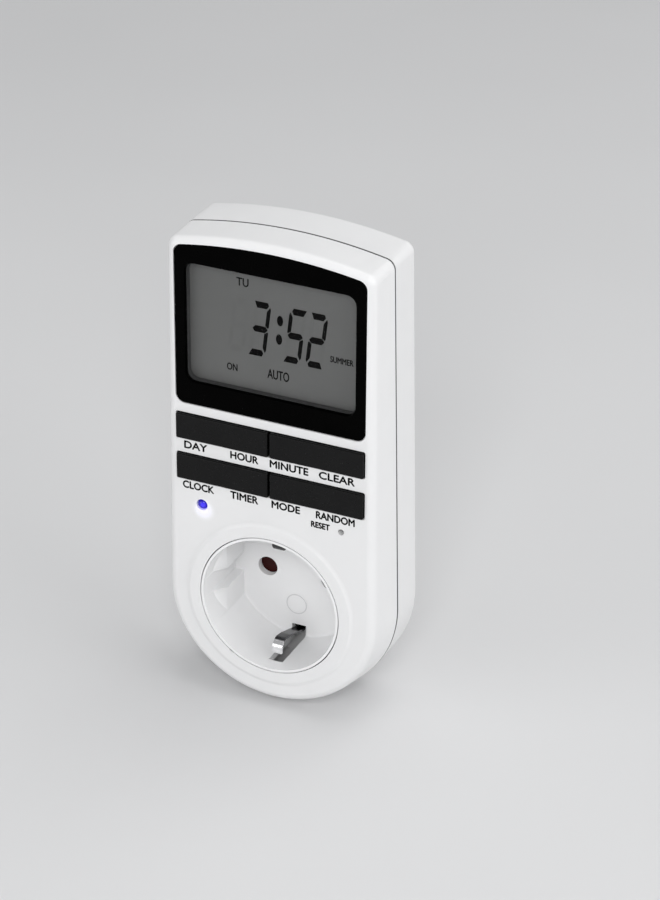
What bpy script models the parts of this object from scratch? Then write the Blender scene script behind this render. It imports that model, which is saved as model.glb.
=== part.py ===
"""Plug-in programmable timer: a white case with a display, four rocker keys, a reset button, an earthed
socket in front and a round plug boss behind.

Frame: X to the right as seen from the front, Y from the front face towards the wall, Z up. The origin is
the middle of the plug boss's end face, on the axis that the socket and the plug share. A depth is a
distance behind the front face of the case. All sizes are in metres.
"""

import math

import bmesh
import bpy
from mathutils import Matrix, Vector

GAP = 0.0003  # kept between pieces that touch in the real object

# Case: a semicircle below, straight sides and a shallow arch on top.
CASE_RADIUS = 0.0304  # half the width of the front face, level with the socket
FACE_DROP = 0.0298  # how far the front face reaches below the socket's axis
SEAM_RADIUS = 0.0323  # the same half width at the seam and behind it
SEAM_TAPER = 0.024  # how fast each side closes in upwards at the seam
FACE_TAPER = 0.008  # and at the front face
TOP_APEX_Z = 0.1062
TOP_ARCH_RADIUS = 0.145
TOP_CORNER_RADIUS = 0.0030
LEAST_CORNER = 0.0006
CASE_DEPTH = 0.0255
WALL = 0.0020
FRONT_EDGE_RADIUS = 0.0022
REAR_EDGE_RADIUS = 0.0018
SEAM_DEPTH = 0.0122
TONGUE = 0.0010  # thickness of the rear shell's locating lip
TONGUE_REACH = 0.0016
ARCH_CENTRE_Z = TOP_APEX_Z - TOP_ARCH_RADIUS

# Plug boss and pins: 4.8 mm round pins, 19 mm long and 19 mm apart.
BOSS_LENGTH = 0.0175
BOSS_RADIUS = 0.0185
BOSS_FLAT = 0.0164
BOSS_FLAT_END = 0.0120
BOSS_RIB = 0.0024
BOSS_CAVITY = 0.0146
END_WALL = 0.0020
PIN_X = 0.0095
PIN_RADIUS = 0.0024
PIN_LENGTH = 0.0190
PIN_HEAD_RADIUS = 0.0044
PIN_HEAD = 0.0019
PIN_FIT = 0.0002
FACE_Y = -(CASE_DEPTH + BOSS_LENGTH)
BOSS_END = CASE_DEPTH + BOSS_LENGTH

# Display.
WINDOW_X = 0.02735
WINDOW_Z = (0.0561, 0.1039)
WINDOW_ARCH_RADIUS = 0.150
WINDOW_CORNER = 0.0024
WINDOW_THICKNESS = 0.0010
VIEW_X = 0.0243
VIEW_Z = (0.0628, 0.0969)
VIEW_CORNER = 0.0026
VIEW_RIM = 0.00035  # wall of the holder's lip round the opening
LCD_DEPTH = 0.0031
LCD_GLASS = 0.0011
LCD_X = 0.0260
LCD_Z = (0.0604, 0.0980)

# Keys: two rows of two rockers.
KEY_ROWS_Z = ((0.0330, 0.0411), (0.0452, 0.0532))
KEY_ROW_X = 0.0276
KEY_WELL_CORNER = 0.0005
KEY_CLEARANCE = 0.00025
KEY_PROUD = 0.0010
KEY_PIVOT_DEPTH = 0.0022
KEY_POST_X = 0.0095  # from the middle of the key
KEY_POST_RADIUS = 0.0012
KEY_POST_END = 0.0043
KEY_BACK = 0.0030
KEY_TOP = 0.0004  # depth of the cap's inner face
KEY_WALL = 0.0010
KEY_EDGE = 0.00035
KEY_LIP = 0.0009  # how far the retaining lips reach above and below the cap
KEY_LIP_X = 0.0035

# Indicator and reset.
LED_X, LED_Z, LED_RADIUS = -0.0202, 0.0261, 0.0015
RESET_X, RESET_Z, RESET_HOLE = 0.0208, 0.0277, 0.0009

# Socket: a 17.5 mm class recess for a round 37 mm plug.
COLLAR_RADIUS = 0.0253
COLLAR_HEIGHT = 0.0008
INSERT_LIP = 0.02045
MOUTH_RADIUS = 0.0198
FLOOR_DEPTH = 0.0183
FLOOR_THICKNESS = 0.0020
INSERT_RADIUS = 0.0219
FLANGE_RADIUS = 0.0227
PAD_FLAT = 0.0168
PAD_GROOVE = 0.0030
PAD_END = 0.0130
PIN_HOLE_RADIUS = 0.0029
EARTH_SLOT = 0.0021
EARTH_WALL_SLOT = 0.0180
EARTH_FLOOR_SLOT = 0.0164
EARTH_SLOT_FRONT = 0.0034
EARTH_CHANNEL = 0.0031
EARTH_GROOVE = 0.0163
INSERT_BACK = FLOOR_DEPTH + FLOOR_THICKNESS

# Shutter behind the socket floor.
SHUTTER_DEPTH = INSERT_BACK + GAP
SHUTTER_THICKNESS = 0.0014
SHUTTER_RADIUS = 0.0126
SHUTTER_HUB = 0.0032
SHUTTER_HALF_ANGLE = 20.0
SHUTTER_FLARE = 12.0  # angle from a blade's edge to where it meets the hub
SHUTTER_RAMP_X = 0.0055
PIVOT_RADIUS = 0.0015

# Boards.
CONTROL_DEPTH = 0.0084
POWER_DEPTH = 0.0206
BOARD_THICKNESS = 0.0016
POWER_X = 0.0246
POWER_Z = (0.0325, 0.0920)

# Contacts and fixings.
CONTACT_SHEET = 0.0005
CONTACT_HALF_GAP = 0.0025
CONTACT_HALF_HEIGHT = 0.0026
CONTACT_FRONT = 0.0226
CONTACT_BACK = 0.0384
EARTH_SHEET = 0.0006
WIRE_RADIUS = 0.00085
CASE_SCREWS = ((-0.0180, -0.0180), (0.0180, -0.0180), (-0.0256, 0.0290), (0.0256, 0.0290))
BOARD_SCREWS = ((-0.0248, 0.0571), (0.0248, 0.0571), (0.0, 0.0275))
POST_RADIUS = 0.0022
POST_PILOT = 0.00145
SLEEVE_RADIUS = 0.0028
SCREW_RECESS = 0.0023
SLEEVE_FRONT = 0.0106
SCREW_SEAT = 0.0155
POST_SPACE = 0.0004  # between a post and the sleeve behind it
THIN_POST_RADIUS = 0.0019
THIN_POST_PILOT = 0.00115
BOARD_SCREW_HOLE = 0.00125

# Chords in a quarter of a corner, the top arches, the case's lower half, and turned shapes.
CORNER_STEPS = 4
ARCH_STEPS = 10
CASE_STEPS = 36
TURN_STEPS = 64

# Distances that cutters run past a face, so that no two faces share a plane.
PAST = 0.001
BITE = 0.0005


# ---------------------------------------------------------------- shape tools


def place(x, depth, z):
    return Vector((x, FACE_Y + depth, z))


def arc(x, z, radius, start, end, steps):
    """Points on an arc of steps chords, from start to end in degrees, both ends included."""
    points = []
    for i in range(steps + 1):
        angle = math.radians(start + (end - start) * i / steps)
        points.append((x + radius * math.cos(angle), z + radius * math.sin(angle)))
    return points


def rounded_rectangle(half_x, low, high, corner, steps=CORNER_STEPS):
    x = half_x - corner
    points = arc(x, low + corner, corner, -90, 0, steps)
    points += arc(x, high - corner, corner, 0, 90, steps)
    points += arc(-x, high - corner, corner, 90, 180, steps)
    points += arc(-x, low + corner, corner, 180, 270, steps)
    return points


def circle(x, z, radius, steps):
    return arc(x, z, radius, 0, 360, steps)[:-1]


def arched_outline(half_x, arch_z, arch, corner, bottom):
    """An outline with a shallow arch on top; bottom is its lower part, from left to right."""
    corner_x = half_x - corner
    corner_z = arch_z + math.sqrt((arch - corner) ** 2 - corner_x**2)
    tilt = math.degrees(math.asin(corner_x / (arch - corner)))
    points = list(bottom)
    points += arc(corner_x, corner_z, corner, 0, 90 - tilt, CORNER_STEPS)
    points += arc(0, arch_z, arch, 90 - tilt, 90 + tilt, ARCH_STEPS)[1:-1]
    points += arc(-corner_x, corner_z, corner, 90 + tilt, 180, CORNER_STEPS)
    return points


def case_ring(inset, depth):
    """The case's outline at one depth, moved inwards by inset. Its sides flare towards the seam."""
    radius = CASE_RADIUS - inset
    corner = max(TOP_CORNER_RADIUS - inset, LEAST_CORNER)
    bottom = arc(0, 0, radius, 180, 360, CASE_STEPS)
    outline = arched_outline(radius, ARCH_CENTRE_Z, TOP_ARCH_RADIUS - inset, corner, bottom)
    reach = min(max(depth / SEAM_DEPTH, 0.0), 1.0)
    widest = CASE_RADIUS + (SEAM_RADIUS - CASE_RADIUS) * reach
    lowest = FACE_DROP + (SEAM_RADIUS - FACE_DROP) * reach
    taper = FACE_TAPER + (SEAM_TAPER - FACE_TAPER) * reach
    ring = []
    for x, z in outline:
        spread = (widest - taper * max(z, 0.0)) / CASE_RADIUS
        drop = lowest / CASE_RADIUS if z < 0 else 1.0
        ring.append(place(x * spread, depth, z * drop))
    return ring


def window_outline(grow):
    """The display window's outline, moved outwards by grow."""
    half_x = WINDOW_X + grow
    low = WINDOW_Z[0] - grow
    corner = WINDOW_CORNER + grow
    arch = WINDOW_ARCH_RADIUS + grow
    arch_z = WINDOW_Z[1] - WINDOW_ARCH_RADIUS
    bottom = arc(-half_x + corner, low + corner, corner, 180, 270, CORNER_STEPS)
    bottom += arc(half_x - corner, low + corner, corner, 270, 360, CORNER_STEPS)
    return arched_outline(half_x, arch_z, arch, corner, bottom)


def view_outline(grow):
    """The display opening's outline, moved outwards by grow."""
    low, high = VIEW_Z
    return rounded_rectangle(VIEW_X + grow, low - grow, high + grow, VIEW_CORNER + grow)


def add_object(name, mesh_data, finish=None):
    bmesh.ops.recalc_face_normals(mesh_data, faces=mesh_data.faces)
    mesh = bpy.data.meshes.new(name)
    mesh_data.to_mesh(mesh)
    mesh_data.free()
    mesh.shade_smooth()
    mesh.set_sharp_from_angle(angle=math.radians(32))
    solid = bpy.data.objects.new(name, mesh)
    bpy.context.scene.collection.objects.link(solid)
    if finish:
        mesh.materials.append(finish)
    return solid


def loft(rings, name="tool", finish=None):
    """A solid through rings of points, with a flat cap at each end."""
    shape = bmesh.new()
    made = [[shape.verts.new(point) for point in ring] for ring in rings]
    for low, high in zip(made, made[1:]):
        for i in range(len(low)):
            j = (i + 1) % len(low)
            shape.faces.new((low[i], low[j], high[j], high[i]))
    shape.faces.new(made[0])
    shape.faces.new(made[-1])
    return add_object(name, shape, finish)


def ring_at(outline, depth):
    return [place(x, depth, z) for x, z in outline]


def prism(outline, front, back, name="tool", finish=None):
    """An outline in X and Z, extruded from one depth to another."""
    return loft([ring_at(outline, front), ring_at(outline, back)], name=name, finish=finish)


def side_prism(outline, low_x, high_x, name="tool", finish=None):
    """An outline in depth and Z, extruded along X."""
    rings = [[place(x, depth, z) for depth, z in outline] for x in (low_x, high_x)]
    return loft(rings, name=name, finish=finish)


def top_prism(outline, low_z, high_z, name="tool", finish=None):
    """An outline in X and depth, extruded along Z."""
    rings = [[place(x, depth, z) for x, depth in outline] for z in (low_z, high_z)]
    return loft(rings, name=name, finish=finish)


def block(x, depth, z, bevel=0.0, name="tool", finish=None):
    """A box given by its (low, high) pairs, with all its edges bevelled."""
    corners = [(x[0], z[0]), (x[1], z[0]), (x[1], z[1]), (x[0], z[1])]
    solid = prism(corners, depth[0], depth[1], name=name, finish=finish)
    if bevel:
        edges = solid.modifiers.new("edges", "BEVEL")
        edges.width = bevel
        edges.segments = 2
        bake(solid)
    return solid


def turned(profile, x, z, steps, name="tool", finish=None):
    """A profile of (radius, depth) points turned round the Y axis through x, z."""
    shape = bmesh.new()
    points = [shape.verts.new(place(x + radius, depth, z)) for radius, depth in profile]
    edges = [shape.edges.new(pair) for pair in zip(points, points[1:])]
    bmesh.ops.spin(
        shape,
        geom=points + edges,
        cent=place(x, 0, z),
        axis=(0, 1, 0),
        angle=math.tau,
        steps=steps,
        use_merge=True,
    )
    bmesh.ops.remove_doubles(shape, verts=shape.verts, dist=1e-6)
    bmesh.ops.holes_fill(shape, edges=shape.edges)
    return add_object(name, shape, finish)


def rod(radius, x, z, front, back, steps=16, name="tool", finish=None):
    """A round bar along Y."""
    return prism(circle(x, z, radius, steps), front, back, name, finish)


def ribbon(path, thickness):
    """The closed outline of a bent sheet whose middle line is path."""
    sides = ([], [])
    for i, (u, v) in enumerate(path):
        before = Vector(path[max(i - 1, 0)])
        after = Vector(path[min(i + 1, len(path) - 1)])
        here = Vector((u, v))
        ways = [way.normalized() for way in (here - before, after - here) if way.length > 0]
        along = sum(ways, Vector((0, 0))).normalized()
        across = Vector((-along.y, along.x))
        spread = thickness / 2 / max(along.dot(ways[0]), 0.5)
        sides[0].append(tuple(here + across * spread))
        sides[1].append(tuple(here - across * spread))
    return sides[0] + sides[1][::-1]


def bake(solid):
    """Replaces an object's mesh with what its modifiers make of it."""
    graph = bpy.context.evaluated_depsgraph_get()
    mesh = bpy.data.meshes.new_from_object(solid.evaluated_get(graph))
    solid.modifiers.clear()
    solid.data = mesh
    solid.data.shade_smooth()
    solid.data.set_sharp_from_angle(angle=math.radians(32))


def combine(solid, operation, tools):
    for tool in tools:
        step = solid.modifiers.new(operation.lower(), "BOOLEAN")
        step.operation = operation
        step.solver = "EXACT"
        step.object = tool
        bake(solid)
        bpy.data.objects.remove(tool)
    return solid


def unite(solid, *tools):
    return combine(solid, "UNION", tools)


def cut(solid, *tools):
    return combine(solid, "DIFFERENCE", tools)


def keep_inside(solid, tool):
    return combine(solid, "INTERSECT", [tool])


def turn_copy(solid, angle, axis):
    """A copy of a tool, turned by angle in degrees round an axis through the origin."""
    copy = bpy.data.objects.new(solid.name, solid.data.copy())
    copy.data.transform(Matrix.Rotation(math.radians(angle), 4, axis))
    bpy.context.scene.collection.objects.link(copy)
    return copy


def pivot_at(solid, point):
    """Moves an object's origin to a point on its joint's axis."""
    solid.data.transform(Matrix.Translation(-point))
    solid.location = point
    return solid


def finish(name, colour, roughness, metallic=0.0, alpha=1.0):
    made = bpy.data.materials.new(name)
    made.use_nodes = True
    shader = made.node_tree.nodes["Principled BSDF"]
    shader.inputs["Base Color"].default_value = (*colour, 1.0)
    shader.inputs["Roughness"].default_value = roughness
    shader.inputs["Metallic"].default_value = metallic
    shader.inputs["Alpha"].default_value = alpha
    made.diffuse_color = (*colour, alpha)
    return made


# ---------------------------------------------------------------- case


def edge_steps(radius):
    """(inset, depth) along a quarter-round edge, from the side to the face."""
    steps = []
    for angle in (0, 22.5, 45, 67.5, 90):
        turn = math.radians(angle)
        steps.append((radius * (1 - math.cos(turn)), radius * (1 - math.sin(turn))))
    return steps


def front_post(x, z, radius, back, pilot):
    post = rod(radius, x, z, WALL - BITE, back)
    return cut(post, rod(pilot, x, z, 2 * WALL, back + PAST, steps=12))


def make_collar():
    """The raised ring round the socket, with a sloping outer edge."""
    slope, shoulder = 0.0010, 0.0005
    shoulder_height = 0.85 * COLLAR_HEIGHT
    inner = INSERT_LIP - PAST
    profile = [
        (inner, WALL / 2),
        (COLLAR_RADIUS, WALL / 2),
        (COLLAR_RADIUS, 0.0),
        (COLLAR_RADIUS - slope, -shoulder_height),
        (COLLAR_RADIUS - slope - shoulder, -COLLAR_HEIGHT),
        (inner, -COLLAR_HEIGHT),
    ]
    return turned(profile + profile[:1], 0, 0, TURN_STEPS)


def make_front_shell():
    back = SEAM_DEPTH - GAP / 2
    outer = [case_ring(0, back)]
    outer += [case_ring(inset, depth) for inset, depth in edge_steps(FRONT_EDGE_RADIUS)]
    shell = loft(outer, name="front_shell", finish=finish("white_front", (0.86, 0.86, 0.87), 0.38))
    chamfer = WALL / 2
    hollow = [case_ring(WALL, back + PAST), case_ring(WALL, WALL + chamfer)]
    hollow += [case_ring(WALL + chamfer, WALL)]
    cut(shell, loft(hollow))
    unite(shell, make_collar())
    cut(shell, rod(INSERT_LIP + GAP, 0, 0, -COLLAR_HEIGHT - PAST, WALL + PAST, steps=TURN_STEPS))

    for x, z in CASE_SCREWS:
        unite(shell, front_post(x, z, POST_RADIUS, SLEEVE_FRONT - POST_SPACE, POST_PILOT))
    for x, z in BOARD_SCREWS:
        unite(shell, front_post(x, z, THIN_POST_RADIUS, CONTROL_DEPTH - GAP, THIN_POST_PILOT))

    cut(shell, prism(window_outline(KEY_CLEARANCE), -PAST, WINDOW_THICKNESS + GAP))
    openings = [view_outline(VIEW_RIM + GAP)]
    openings += [rounded_rectangle(KEY_ROW_X, low, high, KEY_WELL_CORNER, 2) for low, high in KEY_ROWS_Z]
    openings.append(circle(LED_X, LED_Z, LED_RADIUS + KEY_CLEARANCE, 20))
    openings.append(circle(RESET_X, RESET_Z, RESET_HOLE, 12))
    for outline in openings:
        cut(shell, prism(outline, -PAST, WALL + PAST))
    return shell


def make_boss():
    """The plug boss: a round bar with four flats, two on each side of a rib."""
    front = CASE_DEPTH - WALL + BITE
    chamfer = 0.0008
    profile = [
        (0, front),
        (BOSS_RADIUS, front),
        (BOSS_RADIUS, BOSS_END - chamfer),
        (BOSS_RADIUS - chamfer, BOSS_END),
        (0, BOSS_END),
    ]
    boss = turned(profile, 0, 0, TURN_STEPS)
    for side in (-1, 1):
        x = sorted((side * BOSS_FLAT, side * (BOSS_RADIUS + PAST)))
        for z in ((-BOSS_FLAT_END, -BOSS_RIB), (BOSS_RIB, BOSS_FLAT_END)):
            cut(boss, block(x, (CASE_DEPTH, BOSS_END + PAST), z))
    return boss


def make_inner_supports(inner_face):
    """Everything that stands up inside the rear shell: hooks, ledges, board posts and screw sleeves."""
    supports = []
    hook_x, hook_z = (0.0090, 0.0140), (0.1022, 0.1030)
    hook_reach = (CONTROL_DEPTH - 0.0004, SEAM_DEPTH - TONGUE_REACH + PAST)
    ledge_x, ledge_low, ledge_height, ledge_front = 0.0240, (0.0560, 0.0790), 0.0060, 0.0190
    rest_radius, rest_x, rest_z = 0.0015, 0.0205, (0.0380, 0.0880)
    stud_radius, studs = 0.0012, ((0.0203, 0.0), (0.0144, -0.0144))
    board_back = POWER_DEPTH + BOARD_THICKNESS + GAP
    foot = inner_face + BITE
    for side in (-1, 1):
        supports.append(block(sorted(side * x for x in hook_x), hook_reach, hook_z))
        across = sorted((side * ledge_x, side * (CASE_RADIUS - WALL / 2)))
        for low in ledge_low:
            supports.append(block(across, (ledge_front, POWER_DEPTH - GAP), (low, low + ledge_height)))
        for z in rest_z:
            supports.append(rod(rest_radius, side * rest_x, z, board_back, foot, steps=12))
        for x, z in studs:
            supports.append(rod(stud_radius, side * x, z, INSERT_BACK + GAP, foot, steps=12))
    supports += [rod(SLEEVE_RADIUS, x, z, SLEEVE_FRONT, foot) for x, z in CASE_SCREWS]
    return supports


def make_rear_shell():
    front = SEAM_DEPTH + GAP / 2
    inner_face = CASE_DEPTH - WALL
    tongue_front = SEAM_DEPTH - TONGUE_REACH
    tongue_back = SEAM_DEPTH + WALL
    tongue_out = WALL + GAP
    chamfer = WALL / 2
    steps = [(tongue_out, tongue_front), (tongue_out, front), (0, front)]
    steps += [(inset, CASE_DEPTH - depth) for inset, depth in edge_steps(REAR_EDGE_RADIUS)]
    outer = [case_ring(inset, depth) for inset, depth in steps]
    shell = loft(outer, name="rear_shell", finish=finish("white_rear", (0.86, 0.86, 0.87), 0.40))
    steps = [
        (tongue_out + TONGUE, tongue_front - PAST),
        (tongue_out + TONGUE, tongue_back),
        (WALL, tongue_back),
        (WALL, inner_face - chamfer),
        (WALL + chamfer, inner_face),
    ]
    cut(shell, loft([case_ring(inset, depth) for inset, depth in steps]))
    unite(shell, *make_inner_supports(inner_face))
    unite(shell, make_boss())
    cut(shell, rod(BOSS_CAVITY, 0, 0, inner_face - PAST, BOSS_END - END_WALL, steps=48))
    for x, z in CASE_SCREWS:
        cut(shell, rod(SCREW_RECESS, x, z, SCREW_SEAT - GAP, CASE_DEPTH + PAST))
        cut(shell, rod(POST_PILOT, x, z, SLEEVE_FRONT - PAST, SCREW_SEAT + PAST, steps=12))

    channel = (-EARTH_CHANNEL, EARTH_CHANNEL)
    for side in (-1, 1):
        pin_hole = circle(side * PIN_X, 0, PIN_RADIUS + PIN_FIT, 24)
        cut(shell, prism(pin_hole, BOSS_END - 2 * END_WALL, BOSS_END + PAST))
        groove = sorted((side * EARTH_GROOVE, side * (BOSS_RADIUS + PAST)))
        cut(shell, block(channel, (CASE_DEPTH, BOSS_END + PAST), groove))
        slot = sorted((side * EARTH_GROOVE, side * (BOSS_RADIUS + BITE)))
        cut(shell, block(channel, (inner_face - PAST, CASE_DEPTH + PAST), slot))
    return shell


def cross_screw(name, x, z, head, shank, seat, head_height, tip):
    """A cross-head screw whose head lies behind seat and whose shank reaches forward to tip."""
    top = seat + head_height
    rounding = 0.0004
    screw = turned(
        [
            (0, tip),
            (shank * 0.5, tip),
            (shank, tip + shank),
            (shank, seat),
            (head, seat),
            (head, top - rounding),
            (head - rounding, top),
            (0, top),
        ],
        x,
        z,
        16,
        name,
        finish("steel_" + name, (0.62, 0.62, 0.64), 0.30, 1.0),
    )
    long, short = head * 0.62, head * 0.14
    deep = (top - head_height * 0.55, top + PAST)
    for half_x, half_z in ((long, short), (short, long)):
        cut(screw, block((x - half_x, x + half_x), deep, (z - half_z, z + half_z)))
    return screw


def make_screws():
    head, shank, head_height, tip = 0.0020, 0.00115, 0.0017, 0.0048
    for number, (x, z) in enumerate(CASE_SCREWS, start=1):
        cross_screw(f"case_screw_{number}", x, z, head, shank, SCREW_SEAT, head_height, tip)
    head, shank, head_height, tip = 0.0019, 0.00085, 0.0013, 0.0046
    seat = CONTROL_DEPTH + BOARD_THICKNESS + GAP
    for number, (x, z) in enumerate(BOARD_SCREWS, start=1):
        cross_screw(f"board_screw_{number}", x, z, head, shank, seat, head_height, tip)


# ---------------------------------------------------------------- display


def make_display():
    black = finish("black_window", (0.01, 0.01, 0.012), 0.06)
    prism(window_outline(0), 0.0, WINDOW_THICKNESS, "display_window", black)

    dark = finish("dark_holder", (0.05, 0.05, 0.055), 0.6)
    plate = LCD_DEPTH - GAP
    back = CONTROL_DEPTH - GAP
    frame = 0.0010
    across = (-LCD_X - frame, LCD_X + frame)
    upright = (LCD_Z[0] - frame, LCD_Z[1] + frame)
    holder = block(across, (WALL + GAP, back), upright, name="lcd_holder", finish=dark)
    pocket = (-LCD_X - GAP, LCD_X + GAP)
    cut(holder, block(pocket, (plate, back + PAST), (LCD_Z[0] - GAP, LCD_Z[1] + GAP)))
    unite(holder, prism(view_outline(VIEW_RIM), WINDOW_THICKNESS + GAP, plate - 0.0001))
    cut(holder, prism(view_outline(0), -PAST, plate + PAST))

    grey = finish("lcd_grey", (0.16, 0.16, 0.16), 0.25)
    contact_edge = 0.0025
    ledge = LCD_Z[0] + contact_edge
    middle, rear = LCD_DEPTH + LCD_GLASS, LCD_DEPTH + 2 * LCD_GLASS
    section = [
        (LCD_DEPTH, LCD_Z[0]),
        (middle, LCD_Z[0]),
        (middle, ledge),
        (rear, ledge),
        (rear, LCD_Z[1]),
        (LCD_DEPTH, LCD_Z[1]),
    ]
    side_prism(section, -LCD_X, LCD_X, "lcd_panel", grey)

    rubber = finish("zebra_rubber", (0.10, 0.10, 0.12), 0.7)
    strip_x = 0.0250
    strip_z = (LCD_Z[0] + GAP, ledge - GAP)
    block((-strip_x, strip_x), (middle + GAP, back), strip_z, name="zebra_strip", finish=rubber)


# ---------------------------------------------------------------- keys and reset


def make_key(name, left, right, low, high):
    """A hollow rocker cap with two posts behind it and a retaining lip above and below its middle."""
    black = finish("black_" + name, (0.022, 0.022, 0.024), 0.5)
    middle = (left + right) / 2
    cap = block((left, right), (-KEY_PROUD, KEY_BACK), (low, high), KEY_EDGE, name, black)
    inner = (left + KEY_WALL, right - KEY_WALL)
    cut(cap, block(inner, (KEY_TOP, KEY_BACK + PAST), (low + KEY_WALL, high - KEY_WALL)))
    for side in (-1, 1):
        x = middle + side * KEY_POST_X
        unite(cap, rod(KEY_POST_RADIUS, x, (low + high) / 2, KEY_TOP - BITE, KEY_POST_END, steps=12))
    across = (middle - KEY_LIP_X, middle + KEY_LIP_X)
    for z in ((low - KEY_LIP, low + BITE), (high - BITE, high + KEY_LIP)):
        unite(cap, block(across, (WALL + GAP, KEY_BACK - KEY_EDGE / 2), z))
    return pivot_at(cap, place(middle, KEY_PIVOT_DEPTH, (low + high) / 2))


def make_keys():
    names = (("key_clock_timer", "key_mode_random"), ("key_day_hour", "key_minute_clear"))
    edge = KEY_ROW_X - KEY_CLEARANCE
    for (low, high), (left_name, right_name) in zip(KEY_ROWS_Z, names):
        z = (low + KEY_CLEARANCE, high - KEY_CLEARANCE)
        make_key(left_name, -edge, -KEY_CLEARANCE, *z)
        make_key(right_name, KEY_CLEARANCE, edge, *z)


def make_keypad_mat():
    grey = finish("silicone", (0.32, 0.33, 0.35), 0.65)
    back = CONTROL_DEPTH - GAP
    half_x, upright, sheet = 0.0262, (0.0318, 0.0546), 0.0010
    base_front = back - sheet
    mat = block((-half_x, half_x), (base_front, back), upright, name="keypad_mat", finish=grey)
    dome_top, dome_front, dome_foot = 0.0019, 0.0049, 0.0030
    foot_depth = base_front + sheet / 5
    dome = [(0, dome_front), (dome_top, dome_front), (dome_foot, foot_depth), (0, foot_depth)]
    for low, high in KEY_ROWS_Z:
        for key_x in (-KEY_ROW_X / 2, KEY_ROW_X / 2):
            for side in (-1, 1):
                unite(mat, turned(dome, key_x + side * KEY_POST_X, (low + high) / 2, 16))


def make_reset():
    black = finish("switch_black", (0.03, 0.03, 0.03), 0.5)
    half, body_front, bore, bore_end = 0.00225, 0.0046, 0.00145, 0.0073
    reach = (body_front, CONTROL_DEPTH - GAP)
    across = (RESET_X - half, RESET_X + half)
    body = block(across, reach, (RESET_Z - half, RESET_Z + half), name="reset_switch", finish=black)
    cut(body, rod(bore, RESET_X, RESET_Z, body_front - PAST, bore_end))
    radius, front, back = 0.0013, 0.0033, 0.0069
    ivory = finish("plunger", (0.7, 0.66, 0.5), 0.45)
    plunger = rod(radius, RESET_X, RESET_Z, front, back, name="reset_plunger", finish=ivory)
    pivot_at(plunger, place(RESET_X, front, RESET_Z))


# ---------------------------------------------------------------- boards


def make_control_board():
    green = finish("control_green", (0.02, 0.20, 0.09), 0.45)
    narrow, wide, foot, step, top = 0.0231, 0.0270, 0.0246, 0.0316, 0.0989
    outline = [(-narrow, foot), (narrow, foot), (narrow, step), (wide, step), (wide, top)]
    outline += [(-wide, top), (-wide, step), (-narrow, step)]
    back = CONTROL_DEPTH + BOARD_THICKNESS
    board = prism(outline, CONTROL_DEPTH, back, "control_board", green)
    for x, z in BOARD_SCREWS:
        cut(board, rod(BOARD_SCREW_HOLE, x, z, CONTROL_DEPTH - PAST, back + PAST, steps=12))

    seat = back + GAP
    epoxy = finish("epoxy", (0.015, 0.015, 0.015), 0.35)
    steps = [(0, 0), (0.0065, 0), (0.0062, 0.0005), (0.0048, 0.0013), (0.0025, 0.0017), (0, 0.0018)]
    turned([(radius, seat + rise) for radius, rise in steps], 0, 0.0740, 24, "controller_blob", epoxy)

    tin = finish("crystal_tin", (0.70, 0.70, 0.72), 0.25, 1.0)
    can_radius, can_x, can_z = 0.0010, 0.0120, (0.0630, 0.0690)
    can = circle(can_x, seat + 1.1 * can_radius, can_radius, 12)
    top_prism(can, *can_z, "clock_crystal", tin)

    steel = finish("cell_steel", (0.66, 0.66, 0.68), 0.25, 1.0)
    steps = [(0, 0), (0.0055, 0), (0.0058, 0.0004), (0.0058, 0.0046), (0.0050, 0.0054), (0, 0.0054)]
    turned([(radius, seat + rise) for radius, rise in steps], -0.0150, 0.0720, 32, "backup_cell", steel)


def make_led():
    blue = finish("led_blue", (0.05, 0.03, 0.90), 0.2)
    r, flange = LED_RADIUS, LED_RADIUS + 0.0004
    flange_front, flange_back = 0.0043, 0.0053
    profile = [(0, -0.0003), (0.45 * r, -0.0001), (0.82 * r, 0.0004), (r, 0.0012), (r, flange_front)]
    profile += [(flange, flange_front), (flange, flange_back), (0, flange_back)]
    led = turned(profile, LED_X, LED_Z, 20, "indicator_led", blue)
    half_pitch, lead = 0.00127, 0.00025
    lead_z = (LED_Z - lead, LED_Z + lead)
    for side in (-1, 1):
        x = LED_X + side * half_pitch
        unite(led, block((x - lead, x + lead), (flange_back - GAP, CONTROL_DEPTH - GAP), lead_z))


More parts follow.
